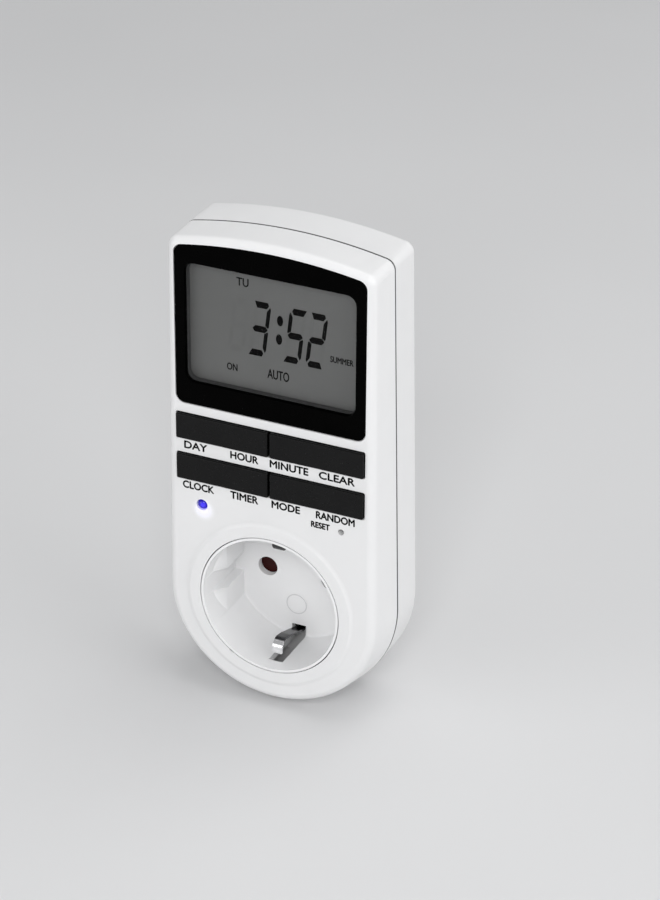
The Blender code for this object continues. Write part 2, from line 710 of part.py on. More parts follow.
def make_power_board():
    tan = finish("power_tan", (0.42, 0.28, 0.10), 0.5)
    back = POWER_DEPTH + BOARD_THICKNESS
    block((-POWER_X, POWER_X), (POWER_DEPTH, back), POWER_Z, name="power_board", finish=tan)
    seat = POWER_DEPTH - GAP

    for name, x, front, z, edge, tone in (
        ("relay", (-0.0225, -0.0020), 0.0104, (0.0390, 0.0543), 0.0005, (0.02, 0.10, 0.45)),
        ("dropper_capacitor", (0.0020, 0.0200), 0.0110, (0.0385, 0.0460), 0.0006, (0.80, 0.62, 0.08)),
        ("bridge_rectifier", (-0.0090, -0.0005), 0.0170, (0.0590, 0.0655), 0.0003, (0.03, 0.03, 0.03)),
    ):
        block(x, (front, seat), z, edge, name, finish("case_" + name, tone, 0.42))

    sleeve = finish("can_sleeve", (0.03, 0.04, 0.10), 0.35)
    radius, front, crimp_depth, groove = 0.0040, 0.0112, 0.0194, 0.0003
    can = [(0, front), (radius - 0.0004, front), (radius, front + 0.0004)]
    crimp = [(radius, crimp_depth - 0.0004), (radius - groove, crimp_depth), (radius, crimp_depth + 0.0004)]
    turned([*can, *crimp, (radius, seat), (0, seat)], 0.0075, 0.0530, 24, "smoothing_capacitor", sleeve)

    disc_blue = finish("varistor_blue", (0.03, 0.12, 0.40), 0.4)
    disc = circle(0.0178, 0.0157, 0.0044, 24)
    varistor = top_prism(disc, 0.0495, 0.0531, "varistor", disc_blue)
    green = finish("resistor_green", (0.10, 0.30, 0.22), 0.5)
    barrel = circle(0.0185, 0.0620, 0.0016, 12)
    resistor = side_prism(barrel, -0.0215, -0.0125, "fusible_resistor", green)
    lead, lead_front = 0.0003, 0.0180
    for solid, xs, z in ((varistor, (0.0153, 0.0203), 0.0513), (resistor, (-0.0205, -0.0135), 0.0620)):
        for x in xs:
            unite(solid, block((x - lead, x + lead), (lead_front, seat), (z - lead, z + lead)))


def make_board_link():
    """A six-way pin header between the two boards."""
    black = finish("header_black", (0.02, 0.02, 0.02), 0.5)
    front = CONTROL_DEPTH + BOARD_THICKNESS + GAP
    back = POWER_DEPTH - GAP
    z = 0.0865
    base, half, pitch, pin = 0.0025, 0.00125, 0.00254, 0.00032
    pin_depth = (front + base - 0.0002, back - base + 0.0002)
    across = (-3 * pitch, 3 * pitch)
    link = block(across, (front, front + base), (z - half, z + half), name="board_link", finish=black)
    unite(link, block(across, (back - base, back), (z - half, z + half)))
    for i in range(6):
        x = (i - 2.5) * pitch
        unite(link, block((x - pin, x + pin), pin_depth, (z - pin, z + pin)))


# ---------------------------------------------------------------- socket


def make_guide_pad(side_x, side_z):
    """One flat guide pad on the recess wall, beside the central groove, with a sloping front."""
    out, slope_foot, slope_head = 0.0225, 0.0080, 0.0010
    foot = FLOOR_DEPTH + BITE
    slope = [(PAD_FLAT, slope_foot), (out, slope_head), (out, foot), (PAD_FLAT, foot)]
    outline = [(side_x * x, depth) for x, depth in slope]
    pad = top_prism(outline, *sorted((side_z * PAD_GROOVE, side_z * PAD_END)))
    return keep_inside(pad, rod(MOUTH_RADIUS + PAST, 0, 0, -PAST, foot + PAST, steps=TURN_STEPS))


def make_socket_insert():
    white = finish("white_socket", (0.85, 0.85, 0.86), 0.35)
    shoulder = WALL + GAP
    flange_back = shoulder + 0.0015
    back_chamfer, floor_chamfer, lip_edge, lip_chamfer = 0.0008, 0.0006, 0.0002, 0.0003
    profile = [
        (0, INSERT_BACK),
        (INSERT_RADIUS - back_chamfer, INSERT_BACK),
        (INSERT_RADIUS, INSERT_BACK - back_chamfer),
        (INSERT_RADIUS, flange_back),
        (FLANGE_RADIUS, flange_back),
        (FLANGE_RADIUS, shoulder),
        (INSERT_LIP, shoulder),
        (INSERT_LIP, lip_chamfer - COLLAR_HEIGHT),
        (INSERT_LIP - lip_edge, -COLLAR_HEIGHT),
        (MOUTH_RADIUS + lip_edge, -COLLAR_HEIGHT),
        (MOUTH_RADIUS, lip_chamfer - COLLAR_HEIGHT),
        (MOUTH_RADIUS, FLOOR_DEPTH - floor_chamfer),
        (MOUTH_RADIUS - floor_chamfer, FLOOR_DEPTH),
        (0, FLOOR_DEPTH),
    ]
    insert = turned(profile, 0, 0, TURN_STEPS, "socket_insert", white)
    for side_x in (-1, 1):
        for side_z in (-1, 1):
            unite(insert, make_guide_pad(side_x, side_z))
        cut(insert, rod(PIN_HOLE_RADIUS, side_x * PIN_X, 0, FLOOR_DEPTH - PAST, INSERT_BACK + PAST, steps=24))
        wall_slot = sorted((side_x * EARTH_WALL_SLOT, side_x * (FLANGE_RADIUS + BITE)))
        floor_slot = sorted((side_x * EARTH_FLOOR_SLOT, side_x * INSERT_RADIUS))
        cut(insert, block((-EARTH_SLOT, EARTH_SLOT), (EARTH_SLOT_FRONT, INSERT_BACK + PAST), wall_slot))
        cut(insert, block((-EARTH_SLOT, EARTH_SLOT), (FLOOR_DEPTH - PAST, INSERT_BACK + PAST), floor_slot))
    pivot_end, holder_end, holder_x = 0.0222, 0.0218, (-0.0026, -0.0006)
    unite(insert, rod(PIVOT_RADIUS, 0, 0, INSERT_BACK - BITE, pivot_end, steps=24))
    for z in ((0.0078, 0.0085), (0.0095, 0.0102)):
        unite(insert, block(holder_x, (INSERT_BACK - BITE, holder_end), z))
    return insert


def make_shutter():
    """A two-bladed disc on the socket's axis; turned by the ramps on its blades, it uncovers both holes."""
    brown = finish("shutter_brown", (0.13, 0.02, 0.015), 0.45)
    half = SHUTTER_HALF_ANGLE
    hub_start, hub_end = half + SHUTTER_FLARE, 180 - half - SHUTTER_FLARE
    outline = arc(0, 0, SHUTTER_RADIUS, -half, half, 8)
    outline += arc(0, 0, SHUTTER_HUB, hub_start, hub_end, 8)
    outline += arc(0, 0, SHUTTER_RADIUS, 180 - half, 180 + half, 8)
    outline += arc(0, 0, SHUTTER_HUB, 180 + hub_start, 180 + hub_end, 8)
    back = SHUTTER_DEPTH + SHUTTER_THICKNESS
    shutter = prism(outline, SHUTTER_DEPTH, back, "shutter", brown)
    cut(shutter, rod(PIVOT_RADIUS + 0.0001, 0, 0, SHUTTER_DEPTH - PAST, back + PAST, steps=24))
    low, high, front = -0.0060, 0.0020, SHUTTER_DEPTH - PAST
    rise = [(front, low), (SHUTTER_DEPTH + 0.0008, low), (SHUTTER_DEPTH - 0.0002, high), (front, high)]
    ramp = side_prism(rise, SHUTTER_RAMP_X, SHUTTER_RADIUS + PAST)
    cut(shutter, turn_copy(ramp, 180, "Y"), ramp)
    pivot_at(shutter, place(0, SHUTTER_DEPTH, 0))

    steel = finish("spring_steel", (0.55, 0.55, 0.57), 0.3, 1.0)
    route = [(-0.0024, 0.0090), (0.0036, 0.0090), (0.0066, 0.0079), (0.0083, 0.0058), (0.0086, 0.0040)]
    thickness, front, width = 0.00035, INSERT_BACK + 0.0004, 0.0010
    prism(ribbon(route, thickness), front, front + width, "shutter_spring", steel)


def make_earth_bracket():
    """One stamped bracket: a sprung clip above and below in the recess, a link behind the floor and a
    contact strip along the top and the bottom of the plug boss."""
    chrome = finish("earth_plated", (0.80, 0.80, 0.82), 0.16, 1.0)
    tip = [(0.0045, 0.0178), (0.0045, 0.0160), (0.0052, 0.0148), (0.0066, 0.0142)]
    leg = [(0.0096, 0.0148), (0.0138, 0.0162), (0.0185, 0.0178), (0.0212, 0.0182)]
    plug = [(0.0206, 0.0182), (0.0222, 0.0182), (0.0242, 0.0169), (0.0418, 0.0169)]
    link_depth, link_end = 0.0228, 0.0178
    link_x, strip_x, clip_x = 0.0020, 0.0026, 0.00145
    link = ribbon([(link_depth, -link_end), (link_depth, link_end)], EARTH_SHEET)
    bracket = side_prism(link, -link_x, link_x, "earth_bracket", chrome)
    for side in (-1, 1):
        clip = [(depth, side * z) for depth, z in tip + leg]
        strip = [(depth, side * z) for depth, z in plug]
        unite(bracket, side_prism(ribbon(strip, EARTH_SHEET), -strip_x, strip_x))
        unite(bracket, side_prism(ribbon(clip, EARTH_SHEET), -clip_x, clip_x))
    return bracket


def make_contact(name, side):
    """A sprung two-leaf contact that takes one plug pin, with a flat riser to the power board."""
    brass = finish("brass_" + name, (0.78, 0.60, 0.28), 0.28, 1.0)
    leaf = CONTACT_HALF_GAP + CONTACT_SHEET / 2
    back = CONTACT_BACK - CONTACT_SHEET / 2
    flare, flare_end = 0.0006, CONTACT_FRONT + 0.0024
    path = [(leaf + flare, CONTACT_FRONT), (leaf, flare_end), (leaf, back), (-leaf, back)]
    path += [(-leaf, flare_end), (-leaf - flare, CONTACT_FRONT)]
    sheet = ribbon([(side * (PIN_X + x), depth) for x, depth in path], CONTACT_SHEET)
    contact = top_prism(sheet, -CONTACT_HALF_HEIGHT, CONTACT_HALF_HEIGHT, name, brass)
    riser_x, riser_top = 0.0066, 0.0350
    x = sorted((side * (PIN_X + leaf), side * (PIN_X + riser_x)))
    depth = (CONTACT_FRONT, CONTACT_FRONT + CONTACT_SHEET)
    unite(contact, block(x, depth, (-CONTACT_HALF_HEIGHT, riser_top)))
    return contact


def make_pin(name, side):
    nickel = finish("nickel_" + name, (0.74, 0.73, 0.70), 0.2, 1.0)
    head = BOSS_END - END_WALL - GAP
    tip = BOSS_END + PIN_LENGTH
    profile = [
        (0, head - PIN_HEAD),
        (PIN_HEAD_RADIUS, head - PIN_HEAD),
        (PIN_HEAD_RADIUS, head),
        (PIN_RADIUS, head),
        (PIN_RADIUS, tip - 0.0017),
        (PIN_RADIUS - 0.0004, tip - 0.0007),
        (PIN_RADIUS - 0.0011, tip - 0.0001),
        (0, tip),
    ]
    return turned(profile, side * PIN_X, 0, 24, name, nickel)


def smooth_path(points, per_span):
    """Points on the Catmull-Rom curve through a route."""
    route = [2 * points[0] - points[1], *points, 2 * points[-1] - points[-2]]
    found = []
    for a, b, c, d in zip(route, route[1:], route[2:], route[3:]):
        for i in range(per_span):
            t = i / per_span
            bend = (2 * a - 5 * b + 4 * c - d) * t**2
            twist = (3 * b - a - 3 * c + d) * t**3
            found.append(0.5 * (2 * b + (c - a) * t + bend + twist))
    return found + [points[-1]]


def make_wire(name, side, colour):
    """An insulated wire from a pin's head, over the boss's inner edge, to the power board."""
    route = [
        (0.0086, 0.0385, 0.0037),
        (0.0084, 0.0362, 0.0042),
        (0.0068, 0.0310, 0.0075),
        (0.0050, 0.0262, 0.0107),
        (0.0047, 0.0226, 0.0129),
        (0.0047, 0.0215, 0.0160),
        (0.0047, 0.0213, 0.0230),
        (0.0048, 0.0193, 0.0300),
        (0.0049, 0.0185, 0.0332),
        (0.0049, 0.0197, 0.0352),
    ]
    points = smooth_path([place(side * x, depth, z) for x, depth, z in route], 2)
    curve = bpy.data.curves.new(name, "CURVE")
    curve.dimensions = "3D"
    curve.bevel_depth = WIRE_RADIUS
    curve.bevel_resolution = 2
    curve.use_fill_caps = True
    spline = curve.splines.new("POLY")
    spline.points.add(len(points) - 1)
    for knot, point in zip(spline.points, points):
        knot.co = (*point, 1.0)
    curve.materials.append(finish("pvc_" + name, colour, 0.45))
    wire = bpy.data.objects.new(name, curve)
    bpy.context.scene.collection.objects.link(wire)
    return wire


def main():
    for left_over in list(bpy.data.objects):
        bpy.data.objects.remove(left_over)
    make_front_shell()
    make_rear_shell()
    make_screws()
    make_display()
    make_keys()
    make_keypad_mat()
    make_reset()
    make_control_board()
    make_led()
    make_power_board()
    make_board_link()
    make_socket_insert()
    make_shutter()
    make_earth_bracket()
    for name, side, colour in (("live", 1, (0.22, 0.09, 0.04)), ("neutral", -1, (0.03, 0.12, 0.50))):
        make_contact(name + "_contact", side)
        make_pin(name + "_pin", side)
        make_wire(name + "_wire", side, colour)


main()
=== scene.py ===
"""Plug-in programmable timer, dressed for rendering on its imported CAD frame.

Frame: X to the right as seen from the front, Y from the front face towards the wall, Z up, in metres.
A depth is a distance behind the front face of the case. Each visible shell, key and contact is built
again here with rounded edges, by the same rules as the CAD, and rides on the CAD's bodies.
"""

import math

import bmesh
import bpy
from mathutils import Matrix, Vector


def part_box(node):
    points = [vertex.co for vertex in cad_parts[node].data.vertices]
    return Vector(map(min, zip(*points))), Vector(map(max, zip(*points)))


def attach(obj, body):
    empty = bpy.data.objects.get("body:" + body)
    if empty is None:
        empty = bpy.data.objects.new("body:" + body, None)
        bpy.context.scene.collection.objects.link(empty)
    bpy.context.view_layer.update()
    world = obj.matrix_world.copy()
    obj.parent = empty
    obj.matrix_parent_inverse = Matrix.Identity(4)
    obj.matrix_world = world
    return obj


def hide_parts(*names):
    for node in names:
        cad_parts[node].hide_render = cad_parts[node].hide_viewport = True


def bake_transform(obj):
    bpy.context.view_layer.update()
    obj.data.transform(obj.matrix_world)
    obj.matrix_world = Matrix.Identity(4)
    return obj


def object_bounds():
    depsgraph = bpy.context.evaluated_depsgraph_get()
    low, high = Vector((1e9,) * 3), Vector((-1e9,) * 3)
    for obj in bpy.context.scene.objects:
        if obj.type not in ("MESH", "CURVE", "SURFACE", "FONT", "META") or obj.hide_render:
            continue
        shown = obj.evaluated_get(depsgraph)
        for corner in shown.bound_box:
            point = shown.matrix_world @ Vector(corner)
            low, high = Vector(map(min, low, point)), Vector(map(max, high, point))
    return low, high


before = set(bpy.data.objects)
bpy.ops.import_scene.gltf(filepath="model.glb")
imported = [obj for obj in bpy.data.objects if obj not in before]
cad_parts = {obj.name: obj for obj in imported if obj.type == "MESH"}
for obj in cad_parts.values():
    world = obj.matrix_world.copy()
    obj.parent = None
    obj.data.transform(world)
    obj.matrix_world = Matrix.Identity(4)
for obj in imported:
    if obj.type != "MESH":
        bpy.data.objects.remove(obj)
cad_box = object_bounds()

CASE = "case"
GAP = 0.0003  # between the two mouldings, and round a piece set into one
PAST = 0.001  # how far a cutting tool runs on past what it cuts
ROUND_STEPS = 144  # chords in the socket's and the plug boss's circles
CASE_STEPS = 96  # chords in the case's round bottom
ARCH_STEPS = 24
CORNER_STEPS = 10
EDGE_STEPS = 8

# ---------------------------------------------------------------- sizes read from the frame


def middle(node):
    low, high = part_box(node)
    return (low + high) / 2


WINDOW_LOW, WINDOW_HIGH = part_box("display_window")
FACE_Y = WINDOW_LOW.y
REAR_LOW, REAR_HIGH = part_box("rear_shell")
SEAM_RADIUS = REAR_HIGH.x
TOP_Z = REAR_HIGH.z
BOSS_END = REAR_HIGH.y - FACE_Y
PLUG_BOSS_LENGTH = 0.0175
CASE_DEPTH = BOSS_END - PLUG_BOSS_LENGTH
COLLAR_HEIGHT = FACE_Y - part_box("front_shell")[0].y
SEAM_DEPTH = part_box("front_shell")[1].y - FACE_Y + GAP / 2

# ---------------------------------------------------------------- sizes that no box gives

WALL = 0.0020
CASE_RADIUS = 0.0304  # half the width of the front face, level with the socket
FACE_DROP = 0.0298
SEAM_TAPER = 0.024
FACE_TAPER = 0.008
TOP_ARCH_RADIUS = 0.145
TOP_CORNER = 0.0030
LEAST_CORNER = 0.0006
FRONT_EDGE = 0.0022
REAR_EDGE = 0.0018
TONGUE_LENGTH = 0.0016  # the rear moulding's rim, which reaches this far into the front moulding
TONGUE_WALL = 0.0010

WINDOW_ARCH_RADIUS = 0.150
WINDOW_CORNER = 0.0024
WINDOW_THICKNESS = WINDOW_HIGH.y - WINDOW_LOW.y
WINDOW_GAP = 0.00025
VIEW_X = 0.0243
VIEW_Z = (0.0628, 0.0969)
VIEW_CORNER = 0.0026
VIEW_FLARE = 0.0003
VIEW_MARGIN = 0.00065  # by which the moulding's opening is larger than the view
PANE_FRONT = 0.0005  # the clear pane's two faces, in front of the window plate's back
PANE_BACK = 0.0001
PANE_GAP = 0.00002

COLLAR_RADIUS = 0.0253
COLLAR_SLOPE = 0.0011
COLLAR_EDGE = 0.0006
INSERT_LIP = 0.02045
MOUTH_RADIUS = 0.0198
FLOOR_DEPTH = 0.0183
FLOOR_THICKNESS = 0.0020
FLOOR_CURVE = 0.0006
INSERT_RADIUS = 0.0219
FLANGE_RADIUS = 0.0227
FLANGE_THICKNESS = 0.0015
PAD_FLAT = 0.0168
PAD_OUT = 0.0225
PAD_SLOPE = (0.0010, 0.0080)  # depths where a guide pad's slope starts and ends
PAD_GROOVE = 0.0030
PAD_END = 0.0130
PIN_HOLE_RADIUS = 0.0029
EARTH_SLOT = 0.0021
EARTH_SLOT_FRONT = 0.0034
FLOOR_RING = (-0.0007, -0.0099)
FLOOR_RING_RADIUS = 0.00295
FLOOR_RING_HALF = 0.00015  # its height too

BOSS_RADIUS = 0.0185
BOSS_FLAT = 0.0164
BOSS_FLAT_END = 0.0120
BOSS_RIB = 0.0024
BOSS_ROOT = 0.0015
BOSS_CAVITY = 0.0146
BOSS_CAVITY_FRONT = 0.005
EARTH_CHANNEL = (0.0163, 0.0200)
EARTH_CHANNEL_HALF = 0.0031
EARTH_PASSAGE = (0.0163, 0.0189)
PIN_RADIUS = 0.0024
PIN_GAP = 0.0002
PIN_SOCKET = 0.004
PIN_HEAD_RADIUS = 0.0044
PIN_HEAD = 0.0019
PIN_DOME = 0.0019

LCD_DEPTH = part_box("lcd_panel")[0].y - FACE_Y
DIGIT_LEAN = 7.0
INK_HEIGHT = 0.00003
FONT_CAP = 0.729  # cap height of the built-in font at size 1
LABEL_WEIGHT = 0.00010
DISPLAY_WEIGHT = 0.00005

KEYS = {
    "key_day_hour": "day_hour_key",
    "key_minute_clear": "minute_clear_key",
    "key_clock_timer": "clock_timer_key",
    "key_mode_random": "mode_random_key",
}
KEY_ROWS = (("key_clock_timer", "key_mode_random"), ("key_day_hour", "key_minute_clear"))
KEY_GAP = 0.00025
KEY_LIP = 0.0009  # how far a cap's hidden retaining lip reaches above and below its face
KEY_VALLEY = 0.00012
KEY_VALLEY_HALF = 0.0008
KEY_BACK = 0.0030
KEY_WALL = 0.0010
KEY_FRONT = 0.0006  # depth at which the hollow behind a cap starts
WELL_CORNER = 0.0006
SEAM_SHADE = 0.00030  # half the width of the painted shadow line at the seam
SEAM_STEP = 0.00022  # the shells' edges step back by this at the seam
LAMP_RADIUS = 0.0015
LAMP_GAP = 0.00015
LAMP_PROUD = 0.0003
LAMP_DOME = 0.0012
LAMP_FLANGE = 0.0004
LAMP_FLANGE_DEPTHS = (0.0043, 0.0053)
RESET_HOLE = 0.0009
CASE_SCREWS = ((-0.0180, -0.0180), (0.0180, -0.0180), (-0.0256, 0.0290), (0.0256, 0.0290))
SCREW_POST = 0.0030
SCREW_POST_FRONT = 0.0110
SCREW_RECESS = 0.0023
SCREW_RECESS_FLOOR = 0.0152
SCREW_HOLE = 0.00145
SCREW_HOLE_DEPTHS = (0.0100, 0.0160)


# ---------------------------------------------------------------- shape tools


def place(x, depth, z):
    return Vector((x, FACE_Y + depth, z))


def arc(x, z, radius, start, end, steps):
    """Points on an arc of steps chords, from start to end in degrees, both ends included."""
    points = []
    for i in range(steps + 1):
        angle = math.radians(start + (end - start) * i / steps)
        points.append((x + radius * math.cos(angle), z + radius * math.sin(angle)))
    return points


def circle(x, z, radius, steps):
    return arc(x, z, radius, 0, 360, steps)[:-1]


def rounded_rectangle(low_x, high_x, low_z, high_z, corner, steps=EDGE_STEPS):
    points = arc(high_x - corner, low_z + corner, corner, -90, 0, steps)
    points += arc(high_x - corner, high_z - corner, corner, 0, 90, steps)
    points += arc(low_x + corner, high_z - corner, corner, 90, 180, steps)
    points += arc(low_x + corner, low_z + corner, corner, 180, 270, steps)
    return points


def arched_outline(half_x, arch_z, arch, corner, bottom):
    """An outline with a shallow arch on top; bottom is its lower part, from left to right."""
    corner_x = half_x - corner
    corner_z = arch_z + math.sqrt((arch - corner) ** 2 - corner_x**2)
    tilt = math.degrees(math.asin(corner_x / (arch - corner)))
    points = list(bottom)
    points += arc(corner_x, corner_z, corner, 0, 90 - tilt, CORNER_STEPS)
    points += arc(0, arch_z, arch, 90 - tilt, 90 + tilt, ARCH_STEPS)[1:-1]
    points += arc(-corner_x, corner_z, corner, 90 + tilt, 180, CORNER_STEPS)
    return points


def case_ring(inset, depth):
    """The case's outline at one depth, moved inwards by inset. Its sides flare towards the seam."""
    radius = CASE_RADIUS - inset
    corner = max(TOP_CORNER - inset, LEAST_CORNER)
    bottom = arc(0, 0, radius, 180, 360, CASE_STEPS)
    outline = arched_outline(radius, TOP_Z - TOP_ARCH_RADIUS, TOP_ARCH_RADIUS - inset, corner, bottom)
    reach = min(max(depth / SEAM_DEPTH, 0.0), 1.0)
    widest = CASE_RADIUS + (SEAM_RADIUS - CASE_RADIUS) * reach
    lowest = FACE_DROP + (SEAM_RADIUS - FACE_DROP) * reach
    taper = FACE_TAPER + (SEAM_TAPER - FACE_TAPER) * reach
    ring = []
    for x, z in outline:
        spread = (widest - taper * max(z, 0.0)) / CASE_RADIUS
        drop = lowest / CASE_RADIUS if z < 0 else 1.0
        ring.append(place(x * spread, depth, z * drop))
    return ring


def window_outline(grow):
    """The display window's outline, moved outwards by grow."""
    half_x = WINDOW_HIGH.x + grow
    low = WINDOW_LOW.z - grow
    corner = WINDOW_CORNER + grow
    bottom = arc(-half_x + corner, low + corner, corner, 180, 270, EDGE_STEPS)
    bottom += arc(half_x - corner, low + corner, corner, 270, 360, EDGE_STEPS)
    arch_z = WINDOW_HIGH.z - WINDOW_ARCH_RADIUS
    return arched_outline(half_x, arch_z, WINDOW_ARCH_RADIUS + grow, corner, bottom)


def view_outline(grow):
    corner = VIEW_CORNER + grow
    low, high = VIEW_Z
    return rounded_rectangle(-VIEW_X - grow, VIEW_X + grow, low - grow, high + grow, corner)


def add_object(name, shape):
    bmesh.ops.recalc_face_normals(shape, faces=shape.faces)
    mesh = bpy.data.meshes.new(name)
    shape.to_mesh(mesh)
    shape.free()
    solid = bpy.data.objects.new(name, mesh)
    bpy.context.scene.collection.objects.link(solid)
    return solid


def loft(rings, name="tool"):
    """A solid through rings of points, with a flat cap at each end."""
    shape = bmesh.new()
    made = [[shape.verts.new(point) for point in ring] for ring in rings]
    for low, high in zip(made, made[1:]):
        for i in range(len(low)):
            j = (i + 1) % len(low)
            shape.faces.new((low[i], low[j], high[j], high[i]))
    shape.faces.new(made[0])
    shape.faces.new(made[-1])
    return add_object(name, shape)


def ring_at(outline, depth):
    return [place(x, depth, z) for x, z in outline]


def prism(outline, front, back, name="tool"):
    """An outline in X and Z, extruded from one depth to another."""
    return loft([ring_at(outline, front), ring_at(outline, back)], name)


def side_prism(outline, low_x, high_x, name="tool"):
    """An outline in depth and Z, extruded along X."""
    return loft([[place(x, depth, z) for depth, z in outline] for x in (low_x, high_x)], name)


def top_prism(outline, low_z, high_z, name="tool"):
    """An outline in X and depth, extruded along Z."""
    return loft([[place(x, depth, z) for x, depth in outline] for z in (low_z, high_z)], name)


def block(x, depth, z):
    """A box given by its (low, high) pairs."""
    corners = [(x[0], z[0]), (x[1], z[0]), (x[1], z[1]), (x[0], z[1])]
    return prism(corners, *depth)


def turned(profile, x, z, steps, name="tool"):
    """A profile of (radius, depth) points turned round the Y axis through x, z."""
    shape = bmesh.new()
    points = [shape.verts.new(place(x + radius, depth, z)) for radius, depth in profile]
    edges = [shape.edges.new(pair) for pair in zip(points, points[1:])]
    centre = place(x, 0, z)
    ring = points + edges
    bmesh.ops.spin(
        shape, geom=ring, cent=centre, axis=(0, 1, 0), angle=math.tau, steps=steps, use_merge=True
    )
    bmesh.ops.remove_doubles(shape, verts=shape.verts, dist=1e-6)
    bmesh.ops.holes_fill(shape, edges=shape.edges)
    return add_object(name, shape)


def rod(radius, x, z, front, back, steps=32):
    return prism(circle(x, z, radius, steps), front, back)


def mirrored(pair, side):
    """A (low, high) pair on one side of the middle: side is 1, or -1 for its mirror image."""
    return sorted((side * pair[0], side * pair[1]))


def ribbon(path, thickness):
    """The closed outline of a bent sheet whose middle line is path."""
    sides = ([], [])
    for i, (u, v) in enumerate(path):
        before = Vector(path[max(i - 1, 0)])
        after = Vector(path[min(i + 1, len(path) - 1)])
        here = Vector((u, v))
        ways = [way.normalized() for way in (here - before, after - here) if way.length > 0]
        along = sum(ways, Vector((0, 0))).normalized()
        across = Vector((-along.y, along.x))
        spread = thickness / 2 / max(along.dot(ways[0]), 0.5)
        sides[0].append(tuple(here + across * spread))
        sides[1].append(tuple(here - across * spread))
    return sides[0] + sides[1][::-1]


def rounded_path(path, radius, steps=5):
    """A path with each inner corner replaced by a curve that starts at most radius before it."""
    found = [path[0]]
    for before, here, after in zip(path, path[1:], path[2:]):
        before, here, after = Vector(before), Vector(here), Vector(after)
        lead = (before - here).normalized() * min(radius, (before - here).length * 0.45)
        trail = (after - here).normalized() * min(radius, (after - here).length * 0.45)
        for i in range(steps + 1):
            t = i / steps
            point = here + lead * (1 - t) ** 2 + trail * t**2
            found.append(tuple(point))
    return found + [path[-1]]


def bake(solid):
    """Replaces an object's mesh with what its modifiers make of it."""
    graph = bpy.context.evaluated_depsgraph_get()
    mesh = bpy.data.meshes.new_from_object(solid.evaluated_get(graph))
    solid.modifiers.clear()
    solid.data = mesh


def combine(solid, operation, tools):
    for tool in tools:
        step = solid.modifiers.new(operation.lower(), "BOOLEAN")
        step.operation = operation
        step.solver = "EXACT"
        step.object = tool
        bake(solid)
        bpy.data.objects.remove(tool)
    return solid


def unite(solid, *tools):
    return combine(solid, "UNION", tools)


def cut(solid, *tools):
    return combine(solid, "DIFFERENCE", tools)


def keep_inside(solid, tool):
    return combine(solid, "INTERSECT", [tool])


def soften(solid, width, segments=2, angle=40):
    """Rounds every edge sharper than angle, and shades the rest smooth."""
    edges = solid.modifiers.new("edges", "BEVEL")
    edges.width = width
    edges.segments = segments
    edges.limit_method = "ANGLE"
    edges.angle_limit = math.radians(angle)
    edges.harden_normals = False
    bake(solid)
    solid.data.shade_smooth()
    solid.data.set_sharp_from_angle(angle=math.radians(angle))
    normals = solid.modifiers.new("normals", "WEIGHTED_NORMAL")
    normals.keep_sharp = True
    bake(solid)
    return solid


def dress(piece, material, body, slot, *nodes):
    """Gives a piece its material and its body, and hides the CAD nodes that it stands for. The slot is not
    used.
    """
    piece.data.materials.clear()
    piece.data.materials.append(material)
    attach(piece, body)
    if nodes:
        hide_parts(*nodes)
    return piece


# ---------------------------------------------------------------- materials


